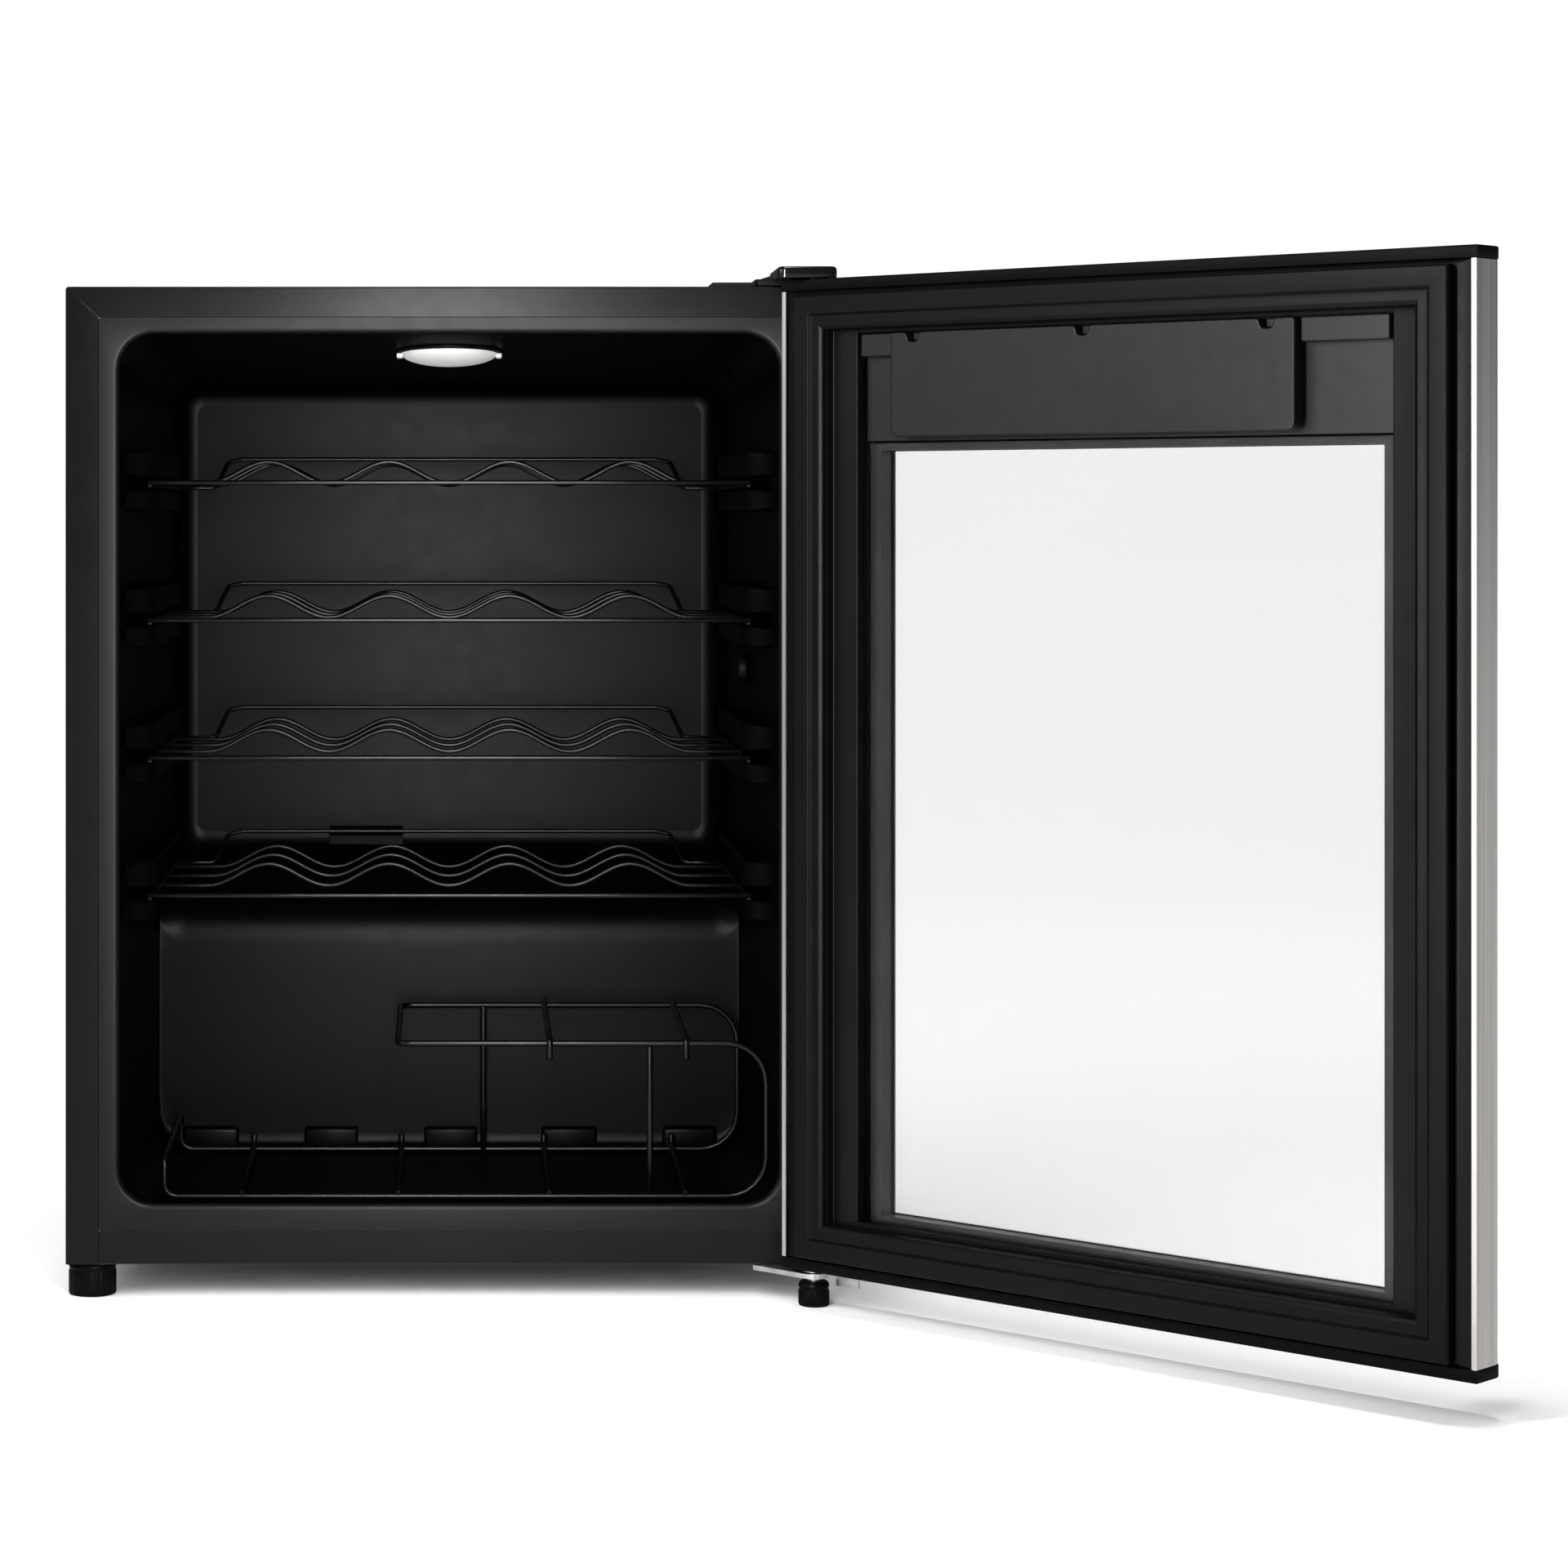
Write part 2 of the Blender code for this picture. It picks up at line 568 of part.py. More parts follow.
def make_foam(root):
    front = LINER_FLANGE + GAP
    foam = block("foam_insulation", (-INSIDE_HALF, front, BODY_LOW + SHEET + GAP),
                 (INSIDE_HALF, CABINET_DEPTH - SHEET - GAP, BODY_HIGH - SHEET - GAP), "foam", root)
    grown = LINER_WALL + GAP
    mouth = round_rectangle(OPENING_HALF + LIP + grown, OPENING_LOW - LIP - grown, OPENING_HIGH + LIP + grown,
                            OPENING_RADIUS + LIP + grown, -0.001)
    pocket = loft("foam_pocket", [mouth] + liner_rings(grown, front), None, root)
    cut(pocket, hump("foam_hump", grown, root))
    bay = block("foam_bay", (-HALF, BAY_FRONT - GAP, 0), (HALF, CABINET_DEPTH + 0.01, BAY_TOP + GAP), None, root)
    low, high = evaporator_box()
    room = block("foam_evaporator", [value - GAP for value in low], [value + GAP for value in high], None, root)
    drain = turned("foam_drain", ((DRAIN_RADIUS + GAP, BAY_TOP - 0.01), (DRAIN_RADIUS + GAP, 0.27)),
                   16, None, root, (DRAIN_X, DRAIN_DEPTH, 0))
    stem = turned("foam_stem", ((STEM_RADIUS * 1.5, 0), (STEM_RADIUS * 1.5, BODY_LOW + 0.010)), 16, None, root,
                  (LEFT_FOOT_X, LEFT_FOOT_Y, 0))
    cut(foam, pocket, bay, room, drain, stem)


def make_cold_side(root):
    low, high = evaporator_box()
    block("evaporator", low, high, "aluminium", root)
    top = hump_top(DRAIN_DEPTH - DRAIN_RADIUS) - LINER_WALL - GAP * 2
    collar("drain_tube", tube_profile(DRAIN_RADIUS, DRAIN_RADIUS - DRAIN_WALL, BAY_TOP - 0.008, top),
           16, "black_plastic", root, (DRAIN_X, DRAIN_DEPTH, 0))
    hood = ((LINER_DEPTH - 0.013, 0.256), (LINER_DEPTH - GAP, 0.256), (LINER_DEPTH - GAP, 0.268),
            (LINER_DEPTH - 0.004, 0.268), (LINER_DEPTH - 0.013, 0.262))
    prism("drain_cover", hood, "X", DRAIN_X - 0.026, DRAIN_X + 0.026, "black_plastic", root)

    seat = (0, LAMP_DEPTH, liner_high(LAMP_DEPTH) - GAP)
    tilt = (-math.atan(LINER_TOP_DRAFT), 0, 0)
    base = turned("lamp_base", ((LAMP_RADIUS - 0.001, -LAMP_BASE), (LAMP_RADIUS, -LAMP_BASE + 0.001),
                                (LAMP_RADIUS, -GAP / 3)), 28, "black_plastic", root, seat)
    top = -LAMP_BASE - GAP
    dome = [(LENS_RADIUS * share, top - LENS_DROP * drop)
            for share, drop in ((0.30, 1.0), (0.60, 0.90), (0.84, 0.64), (0.96, 0.34), (1.0, 0.0))]
    lens = turned("lamp_lens", dome, 28, "opal", root, seat)
    hollow = [(LENS_RADIUS * 0.30, top - LENS_DROP + LENS_WALL), (LENS_RADIUS * 0.80, top - LENS_DROP * 0.50),
              (LENS_RADIUS - LENS_WALL, top), (LENS_RADIUS - LENS_WALL, top + 0.001)]
    room = turned("lamp_room", hollow, 28, None, root, seat)
    cut(lens, room)
    for piece in (base, lens, room):
        piece.rotation_euler = tilt

    wall = liner_half(SENSOR_DEPTH + SENSOR_RADIUS) - GAP
    profile = ((wall, 1.0), (wall - SENSOR_REACH * 0.6, 1.0), (wall - SENSOR_REACH * 0.9, 0.8),
               (wall - SENSOR_REACH, 0.5))
    rings = [[(across, SENSOR_DEPTH + y, SENSOR_HEIGHT + z) for y, z in arc((0, 0), SENSOR_RADIUS * size, 0, 337.5, 15)]
             for across, size in profile]
    loft("sensor_cover", rings, "black_plastic", root)


# ---------------------------------------------------------------- shelves and bottle rack
def wave_height(across):
    """Height of a wave wire above the shelf's plane: a crest between bottles, flat at both ends."""
    end = WAVE_PITCH * WAVE_PEAKS / 2
    if abs(across) >= end:
        return 0.0
    return WAVE_HEIGHT / 2 * (1 - math.cos(2 * math.pi * (across + end) / WAVE_PITCH))


def make_shelves(root):
    half = SHELF_HALF
    right = [(half, SHELF_FRONT, -WELD), (half, 0.290, -WELD), (0.163, 0.290, -WELD),
             (STOP_HALF + 0.010, STOP_DEPTH - 0.003, STOP_RAISE - 0.002), (STOP_HALF, STOP_DEPTH, STOP_RAISE)]
    left = [(-x, y, z) for x, y, z in reversed(right)]
    frame = wire("shelf_frame", bent(right + left, [0, 0.018, 0.006, 0.004, 0.006, 0.006, 0.004, 0.006, 0.018, 0],
                                     steps=3), SHELF_WIRE, "black_wire", root)
    end = half + SHELF_WIRE
    unite(frame, wire("shelf_rail", [(-end, SHELF_FRONT, 0), (end, SHELF_FRONT, 0)], SHELF_WIRE * 1.1, None, root,
                      resolution=1))
    crests = WAVE_PITCH * WAVE_PEAKS / 2
    steps = 6 * WAVE_PEAKS
    for number in range(1, 4):
        depth = SHELF_FRONT + WAVE_SPACING * number
        across = [-end] + [-crests + 2 * crests * i / steps for i in range(steps + 1)] + [end]
        unite(frame, wire(f"shelf_wave_{number}", [(x, depth, wave_height(x)) for x in across], SHELF_WIRE,
                          None, root))
    mesh = baked(frame)
    bpy.data.objects.remove(frame, do_unlink=True)
    for number, level in enumerate(SHELF_LEVELS):
        place(f"shelf_{number + 1}", mesh, "black_wire", root, (0, 0, level))


def make_rack(root):
    low_front = liner_low(RACK_FRONT) + RACK_WIRE + GAP
    low_back = liner_low(RACK_BACK) + RACK_WIRE + GAP
    deck_back = RACK_DECK + low_back - low_front
    corners = [
        (RACK_DECK_LEFT, RACK_FRONT, RACK_DECK),
        (RACK_RIGHT_FRONT, RACK_FRONT, RACK_DECK),
        (RACK_RIGHT_FRONT, RACK_FRONT, low_front),
        (RACK_LEFT, RACK_FRONT, low_front),
        (RACK_LEFT, RACK_FRONT, low_front + RACK_END_RAISE),
        (RACK_LEFT, RACK_BACK, low_back + RACK_END_RAISE),
        (RACK_LEFT, RACK_BACK, low_back),
        (RACK_RIGHT_BACK, RACK_BACK, low_back),
        (RACK_RIGHT_BACK, RACK_BACK, deck_back),
        (RACK_DECK_LEFT, RACK_BACK, deck_back),
    ]
    wide, small = RACK_WIDE_BEND, RACK_BEND
    radii = [small, wide, wide, small, small, small, small, wide, wide, small]
    rack = wire("rack_loop", bent(corners, radii, steps=3, closed=True), RACK_WIRE, "black_wire", root,
                closed=True, resolution=1)
    lift = RACK_WIRE * 1.2
    drop = 0.010
    front, back = RACK_FRONT - RACK_WIRE, RACK_BACK + RACK_WIRE
    for number, across in enumerate(RACK_DECK_BARS):
        path = [(across, back, deck_back + lift), (across, front, RACK_DECK + lift), (across, front, RACK_DECK - drop)]
        unite(rack, wire(f"rack_deck_bar_{number}", bent(path, 0.003, steps=2), RACK_WIRE, None, root))
    for number, across in enumerate(RACK_FLOOR_BARS):
        path = [(across, front, low_front + lift), (across, back, low_back + lift), (across, back, low_back + drop)]
        unite(rack, wire(f"rack_floor_bar_{number}", bent(path, 0.003, steps=2), RACK_WIRE, None, root))
    uprights = ((0.1276, RACK_FRONT + lift, low_front, RACK_DECK), (0.0230, RACK_BACK - lift, low_back, deck_back))
    for number, (across, depth, low, high) in enumerate(uprights):
        unite(rack, wire(f"rack_upright_{number}", [(across, depth, low), (across, depth, high)], RACK_WIRE,
                         None, root))
    mesh = baked(rack)
    bpy.data.objects.remove(rack, do_unlink=True)
    place("bottle_rack", mesh, "black_wire", root)


# ---------------------------------------------------------------- feet and hinges on the cabinet
def make_foot(name, across, depth, radius, stem_top, root):
    """A turned levelling foot: a knob with a chamfered rim on a threaded stem."""
    top = BODY_LOW - GAP
    turned(name, ((radius - 0.0015, 0), (radius, 0.0015), (radius, top - 0.003), (radius - 0.002, top),
                  (STEM_RADIUS, top), (STEM_RADIUS, stem_top)), 20, "black_plastic", root, (across, depth, 0))


def round_hole(name, radius, low, high, parent, location=(0, 0, 0)):
    return turned(name, ((radius, low), (radius, high)), 16, None, parent, location)


def make_feet(root):
    make_foot("front_foot_left", LEFT_FOOT_X, LEFT_FOOT_Y, LEFT_FOOT_RADIUS, BODY_LOW + 0.007, root)
    for name, side in (("rear_foot_left", -1), ("rear_foot_right", 1)):
        make_foot(name, side * REAR_FOOT_X, REAR_FOOT_Y, REAR_FOOT_RADIUS, TRAY_TOP + 0.006, root)
    top = PLATE_TOP - LOWER_BRACKET - 0.0025
    rim = RIGHT_FOOT_RADIUS
    foot = turned("front_foot_right", ((rim - 0.0012, 0), (rim, 0.0012), (rim, top - 0.001), (rim - 0.001, top)),
                  20, "black_plastic", root, (PIN_X, PIN_Y, 0))
    cut(foot, round_hole("foot_socket", PIN_RADIUS + PIN_CLEARANCE, 0.005, 0.03, root, (PIN_X, PIN_Y, 0)))


def make_hinges(root):
    pin = (PIN_X, PIN_Y, 0)
    edge = HALF - 0.0015
    nose = arc((PIN_X, PIN_Y), 0.010, 225, 340, 6)
    outline = [(0.190, 0.055), (0.190, 0.0), (PIN_X - 0.0085, PIN_Y - 0.0055)] + nose + [(edge, -0.005), (edge, 0.055)]
    plate = prism("bottom_hinge_bracket", outline, "Z", PLATE_TOP - LOWER_BRACKET, PLATE_TOP, "zinc", root)
    cut(plate, round_hole("lower_pin_hole", PIN_RADIUS + PIN_CLEARANCE, 0, 0.05, root, pin))
    rest = PLATE_TOP + GAP
    shank = PIN_RADIUS - 0.0001
    turned("bottom_hinge_pin", ((shank, 0.006), (shank, rest), (0.007, rest), (0.007, DOOR_LOW - GAP * 2),
                                (PIN_RADIUS, DOOR_LOW - GAP * 2), (PIN_RADIUS, DOOR_LOW + 0.0185),
                                (PIN_RADIUS - 0.001, DOOR_LOW + 0.0195)), 16, "zinc", root, pin)

    low = BODY_HIGH + GAP
    high = HINGE_PLATE_LOW + BRACKET
    inner = 0.203
    front = PIN_Y - 0.0125
    nose = [(inner, 0.050), (inner, front + 0.008), (inner + 0.008, front), (edge - 0.009, front),
            (edge, front + 0.009), (edge, 0.050)]
    bracket = prism("top_hinge_bracket", nose, "Z", HINGE_PLATE_LOW, high, "zinc", root)
    ramp = ((0.165, low), (0.190, low), (inner + 0.001, HINGE_PLATE_LOW), (inner + 0.001, high), (inner, high),
            (0.189, low + BRACKET), (0.165, low + BRACKET))
    rivet = turned("top_pin", ((PIN_RADIUS - 0.001, DOOR_HIGH - 0.019), (PIN_RADIUS, DOOR_HIGH - 0.018),
                               (PIN_RADIUS, high - BRACKET / 2)), 16, None, root, pin)
    unite(bracket, prism("top_bracket_flange", ramp, "Y", 0.004, 0.050, None, root), rivet)

    skin = 0.0012
    cover_low = (0.2025, PIN_Y - 0.016, DOOR_HIGH + 0.001)
    cover_high = (HALF - 0.0008, 0.030, high + 0.003)
    cover = block("hinge_cover", cover_low, cover_high, "black_plastic", root)
    room = block("hinge_cover_room", (0.19, cover_low[1] + skin, 0.6),
                 (cover_high[0] + 0.01, cover_high[1] + 0.01, cover_high[2] - skin), None, root)
    wall = block("hinge_cover_wall", (cover_high[0] - skin * 0.5, cover_low[1] + skin * 0.5, HINGE_PLATE_LOW - 0.001),
                 (cover_high[0], cover_high[1], cover_high[2] - skin * 0.5), None, root)
    unite(cut(cover, room), wall)


# ---------------------------------------------------------------- cooling machinery at the back
def make_compressor(root):
    half_x, half_y = COMPRESSOR_HALF
    foot = COMPRESSOR_BASE
    base = foot + 0.003
    centre = (COMPRESSOR_X, COMPRESSOR_Y, 0)
    stations = ((0.72, 0.0), (0.92, 0.10), (0.97, 0.30), (0.97, 0.50), (1.0, 0.51), (1.0, 0.55), (0.97, 0.56),
                (0.94, 0.72), (0.80, 0.90), (0.45, 1.0))
    rings = [[(half_x * scale * x, half_y * scale * y, base + COMPRESSOR_HEIGHT * share)
              for x, y in arc((0, 0), 1.0, 0, 342, 19)] for scale, share in stations]
    shell = loft("compressor", rings, "black_enamel", root, centre)
    feet_x, feet_y = COMPRESSOR_FEET
    unite(shell, block("compressor_feet", (-feet_x, -feet_y, foot), (feet_x, feet_y, base + 0.001), None, root, centre))
    low = TRAY_TOP + GAP
    for number, (side, end) in enumerate(((-1, -1), (1, -1), (1, 1), (-1, 1))):
        collar(f"compressor_grommet_{number + 1}", tube_profile(0.009, 0.004, low, low + GROMMET_HEIGHT), 14,
               "black_rubber", root,
               (COMPRESSOR_X + side * (feet_x - 0.011), COMPRESSOR_Y + end * (feet_y - 0.010), 0))
    near = COMPRESSOR_X + half_x + 0.003
    block("relay_cover", (near, COMPRESSOR_Y - 0.026, base + 0.030), (near + 0.034, COMPRESSOR_Y + 0.026, base + 0.090),
          "black_plastic", root)
    low = base + COMPRESSOR_HEIGHT + GAP
    dish = block("drip_tray", (COMPRESSOR_X - 0.065, COMPRESSOR_Y - 0.045, low),
                 (COMPRESSOR_X + 0.065, COMPRESSOR_Y + 0.045, low + 0.012), "black_plastic", root)
    cut(dish, block("drip_room", (COMPRESSOR_X - 0.063, COMPRESSOR_Y - 0.043, low + 0.002),
                    (COMPRESSOR_X + 0.063, COMPRESSOR_Y + 0.043, low + 0.05), None, root))
    return base


def make_cooling_circuit(root, base):
    side = COIL_HALF + COIL_PITCH / 2
    top = COIL_LOW + COIL_PITCH * (COIL_PASSES - 1)
    corners = []
    for number in range(COIL_PASSES):
        height = top - COIL_PITCH * number
        ends = [(side, COIL_Y, height), (-side, COIL_Y, height)]
        corners += ends if number % 2 == 0 else ends[::-1]
    outlet = (side, COIL_Y, 0.130)
    corners += [outlet, (side, CABINET_DEPTH - 0.040, 0.130)]
    wire("condenser_coil", bent(corners, COIL_PITCH / 2 - 0.0003, steps=4), COIL_WIRE, "black_wire", root,
         resolution=1)
    for name, end in (("condenser_strap_left", -1), ("condenser_strap_right", 1)):
        block(name, (end * STRAP_X - 0.006, CABINET_DEPTH + GAP, COIL_LOW - 0.012),
              (end * STRAP_X + 0.006, COIL_Y - COIL_WIRE - GAP, top + 0.012), "black_enamel", root)

    half_x, half_y = COMPRESSOR_HALF
    start = (COMPRESSOR_X + half_x * 0.50, COMPRESSOR_Y + half_y * 0.86, base + 0.040)
    riser = side + 0.010
    path = [start, (start[0], COIL_Y, start[2]), (riser, COIL_Y, start[2]), (riser, COIL_Y, top),
            (side + COIL_WIRE / 2 + 0.001, COIL_Y, top)]
    wire("discharge_tube", bent(path, [0, 0.008, 0.008, 0.004, 0], steps=3), COIL_WIRE, "copper", root, resolution=1)

    radius = 0.0095
    stations = ((0.003, 0.0), (0.003, 0.006), (radius, 0.014), (radius, 0.058), (0.003, 0.066), (0.003, 0.072))
    start_y = CABINET_DEPTH - 0.040 - GAP
    rings = [[(side + x, start_y - along, 0.130 + z) for x, z in arc((0, 0), size, 0, 337.5, 15)]
             for size, along in stations]
    loft("filter_drier", rings, "copper", root)

    inlet = (COMPRESSOR_X - half_x * 0.97 - 0.001, COMPRESSOR_Y, base + 0.060)
    column = -0.190
    path = [inlet, (column, COMPRESSOR_Y, inlet[2]), (column, COMPRESSOR_Y, BAY_TOP - SHEET - GAP)]
    wire("suction_tube", bent(path, 0.012, steps=3), 0.0035, "copper", root, resolution=1)


# ---------------------------------------------------------------- the door, in the frame of its hinge pin
def door_ring(side, bottom, top, across):
    """A rectangle of the door at one depth, given by its distances from the door's edges."""
    left, right = FREE_EDGE + side, HINGE_EDGE - side
    low, high = DOOR_LOW + bottom, DOOR_HIGH - top
    return [(left, across, low), (right, across, low), (right, across, high), (left, across, high)]


def stile(name, edge, inward, door):
    """A folded steel stile: front face, rounded edge, side and a short return, for either end."""
    r, t = DOOR_EDGE_RADIUS, DOOR_SKIN
    outside = [(STILE_FACE, OUTER_FACE)] + arc((r, OUTER_FACE + r), r, 270, 180, 5)
    outside += [(0, INNER_FACE), (STILE_RETURN, INNER_FACE)]
    inside = [(STILE_RETURN, INNER_FACE - t), (t, INNER_FACE - t)]
    inside += arc((r, OUTER_FACE + r), r - t, 180, 270, 5) + [(STILE_FACE, OUTER_FACE + t)]
    outline = [(edge + inward * x, y) for x, y in outside + inside]
    prism(name, outline, "Z", DOOR_LOW + CAP_THICKNESS + GAP, DOOR_HIGH - CAP_THICKNESS - GAP, "brushed_steel",
          door, smooth=True)


def end_cap(name, low, high, door):
    r = DOOR_EDGE_RADIUS
    right, left, front = HINGE_EDGE + CAP_PROUD, FREE_EDGE - CAP_PROUD, OUTER_FACE - CAP_PROUD
    outline = arc((right - r, front + r), r, 270, 360, 5) + [(right, INNER_FACE), (left, INNER_FACE)]
    outline += arc((left + r, front + r), r, 180, 270, 5)
    cap = prism(name, outline, "Z", low, high, "black_plastic", door)
    radius = PIN_RADIUS + PIN_CLEARANCE + BUSH_WALL + GAP
    return cut(cap, round_hole(f"{name}_hole", radius, low - 0.01, high + 0.01, door))


def make_door_shell(door):
    stile("door_stile_hinge", HINGE_EDGE, -1, door)
    stile("door_stile_free", FREE_EDGE, 1, door)
    left = FREE_EDGE + STILE_FACE + GAP
    right = HINGE_EDGE - STILE_FACE - GAP
    skin = OUTER_FACE + DOOR_SKIN
    block("door_rail_bottom", (left, OUTER_FACE, DOOR_LOW + CAP_THICKNESS + GAP), (right, skin, BOTTOM_RAIL_HIGH),
          "brushed_steel", door)
    rail = block("door_rail_top", (left, OUTER_FACE, TOP_RAIL_LOW), (right, skin, DOOR_HIGH - CAP_THICKNESS - GAP),
                 "brushed_steel", door)
    middle = (HINGE_EDGE + FREE_EDGE) / 2
    cut(rail, block("window_opening", (middle - WINDOW_HALF - GAP, OUTER_FACE - 0.01, WINDOW_LOW - GAP),
                    (middle + WINDOW_HALF + GAP, skin + 0.01, WINDOW_HIGH + GAP), None, door))
    block("display_window", (middle - WINDOW_HALF, OUTER_FACE + GAP / 2, WINDOW_LOW),
          (middle + WINDOW_HALF, OUTER_FACE + 0.0025, WINDOW_HIGH), "smoked", door)
    end_cap("door_cap_top", DOOR_HIGH - CAP_THICKNESS, DOOR_HIGH, door)
    end_cap("door_cap_bottom", DOOR_LOW, DOOR_LOW + CAP_THICKNESS, door)
    inner = PIN_RADIUS + PIN_CLEARANCE
    for name, low, high in (("upper_bush", DOOR_HIGH - 0.019, DOOR_HIGH), ("lower_bush", DOOR_LOW, DOOR_LOW + 0.019)):
        collar(name, tube_profile(inner + BUSH_WALL, inner, low, high), 16, "opal", door)
    top = DOOR_LOW - GAP
    plate = block("door_stop", (-0.030, -0.008, top - 0.0019), (-0.0125, 0.006, top), "zinc", door)
    unite(plate, block("door_stop_flange", (-0.030, -0.008, top - 0.0104), (-0.0125, -0.0063, top - 0.001),
                       None, door))


def make_glazing(door):
    front = OUTER_FACE + DOOR_SKIN + GAP
    back = front + OUTER_PANE
    block("outer_glass", (FREE_EDGE + PANE_SIDE, front, PANE_LOW), (HINGE_EDGE - PANE_SIDE, back, PANE_HIGH),
          "glass", door)
    frame_foot = 0.0022
    near = frame_foot - GAP
    far = near - INNER_PANE
    block("inner_glass", (FREE_EDGE + INNER_PANE_SIDE, far, INNER_PANE_LOW),
          (HINGE_EDGE - INNER_PANE_SIDE, near, INNER_PANE_HIGH), "glass", door)
    bottom = BOTTOM_RAIL_HIGH - DOOR_LOW
    top = DOOR_HIGH - TOP_RAIL_LOW
    narrow = INNER_PANE_HIGH - TOP_RAIL_LOW
    low, high = back + GAP, far - GAP
    rings = [door_ring(STILE_FACE - SPACER, bottom - SPACER, top - narrow, low), door_ring(STILE_FACE, bottom, top, low),
             door_ring(STILE_FACE, bottom, top, high), door_ring(STILE_FACE - SPACER, bottom - SPACER, top - narrow, high)]
    loop("glass_spacer", rings, "aluminium", door)


def make_inner_frame(door):
    edge = STILE_RETURN + 0.0006
    end = CAP_THICKNESS + GAP
    step = FRAME_STEP
    wall = 0.002
    face = INNER_FACE
    land = 0.0085
    foot = 0.0022
    outside = [(edge, end, end, face - 0.0022), (edge, end, end, face), (0.0355, 0.031, 0.032, face),
               (0.0355, 0.031, 0.032, land), (step, 0.034, 0.034, land), (step, 0.034, 0.034, foot)]
    inside = [(step - wall, 0.0325, 0.0325, foot), (step - wall, 0.0325, 0.0325, land - wall),
              (0.0335, 0.029, 0.030, land - wall), (0.0335, 0.029, 0.030, face - 0.0022)]
    loop("inner_frame", [door_ring(*station) for station in outside + inside], "black_plastic", door)

    low = face + GAP
    high = low + GASKET_HEIGHT
    seal = [(0.0135, 0.0088, 0.010, low), (0.0135, 0.0088, 0.010, high - 0.0008), (0.0143, 0.0096, 0.0108, high),
            (0.0265, 0.0218, 0.023, high), (0.0355, 0.031, 0.032, high - 0.0022), (0.0355, 0.031, 0.032, low)]
    loop("door_gasket", [door_ring(*station) for station in seal], "black_rubber", door)


def make_controls(door):
    left = FREE_EDGE + FRAME_STEP + GAP
    right = HINGE_EDGE - FRAME_STEP - GAP
    front = OUTER_FACE + DOOR_SKIN + GAP + OUTER_PANE + GAP * 2
    face = 0.002
    housing = block("control_housing", (left, front, HOUSING_LOW), (right, face, HOUSING_HIGH), "black_plastic", door)
    room = block("housing_room", (left + HOUSING_WALL, front - 0.01, HOUSING_LOW + HOUSING_WALL),
                 (right - HOUSING_WALL, face - HOUSING_WALL, HOUSING_HIGH - HOUSING_WALL), None, door)
    blocks = [block("block_hinge_side", (COVER_SPAN[1] + GAP, face - 0.001, BLOCK_LOW), (right, 0.008, HOUSING_HIGH),
                    None, door),
              block("block_free_side", (left, face - 0.001, BLOCK_LOW), (COVER_SPAN[0] - GAP, 0.008, HOUSING_HIGH),
                    None, door)]
    unite(cut(housing, room), *blocks)

    near = face + GAP
    low, high = COVER_SPAN
    r = 0.005
    outline = [(low, COVER_HIGH)] + arc((low + r, COVER_LOW + r), r, 180, 270, 4)
    outline += arc((high - r, COVER_LOW + r), r, 270, 360, 4) + [(high, COVER_HIGH)]
    cover = prism("control_cover", outline, "Y", near, COVER_PROUD, "black_plastic", door)
    wall = COVER_WALL
    cut(cover, block("cover_room", (low + wall, near - 0.01, COVER_LOW + wall),
                     (high - wall, COVER_PROUD - wall, COVER_HIGH - CLIP_HEIGHT - wall), None, door))
    for number, centre in enumerate(CLIPS):
        cut(cover, block(f"clip_notch_{number}", (centre - CLIP_WIDTH / 2, near - 0.01, COVER_HIGH - CLIP_HEIGHT),
                         (centre + CLIP_WIDTH / 2, COVER_PROUD + 0.01, COVER_HIGH + 0.01), None, door))
    block("control_board", (low + 0.020, -0.008, HOUSING_LOW + 0.008), (high - 0.020, -0.0064, HOUSING_HIGH - 0.008),
          "circuit", door)


def make_handle(door):
    across = FREE_EDGE + HANDLE_FROM_EDGE
    bar_y = OUTER_FACE - HANDLE_STANDOFF
    low, high = HANDLE_SPAN
    edge = 0.0015
    radius = HANDLE_RADIUS
    bar = turned("handle", ((radius - edge, low), (radius, low + edge), (radius, high - edge), (radius - edge, high)),
                 16, "brushed_steel", door, (across, bar_y, 0))
    for number, height in enumerate((low + 0.035, high - 0.035)):
        post = turned(f"handle_post_{number}", ((HANDLE_POST, 0), (HANDLE_POST, HANDLE_STANDOFF - GAP)), 12,
                      None, door, (across, bar_y, height), "Y")
        unite(bar, post)


def make_door(root):
    door = bpy.data.objects.new("door_pivot", None)
    bpy.context.scene.collection.objects.link(door)
    door.parent = root
    door.location = (PIN_X, PIN_Y, 0)
    door.rotation_euler = (0, 0, math.radians(DOOR_OPEN))
    make_door_shell(door)
    make_glazing(door)
    make_inner_frame(door)
    make_controls(door)
    make_handle(door)


def main():
    clear_scene()
    root = bpy.data.objects.new("fridge", None)
    bpy.context.scene.collection.objects.link(root)
    root.location = (-LEFT_FOOT_X, -LEFT_FOOT_Y, 0)
    make_steel(root)
    make_liner(root)
    make_foam(root)
    make_cold_side(root)
    make_shelves(root)
    make_rack(root)
    make_feet(root)
    make_hinges(root)
    make_cooling_circuit(root, make_compressor(root))
    make_door(root)


main()
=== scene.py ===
"""Looks of a small bottle fridge: its cabinet, door, shelves and cooling parts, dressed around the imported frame.

Lengths are metres. Shapes are worked out in the cabinet's own frame (X across from its centre, Y back from
its front face, Z up) or in the door's own frame (X along the door from the hinge pin, Y through it), and are
then placed in the row frame by a Place.
"""

import json
import logging
import math
from dataclasses import dataclass, field
from enum import Enum

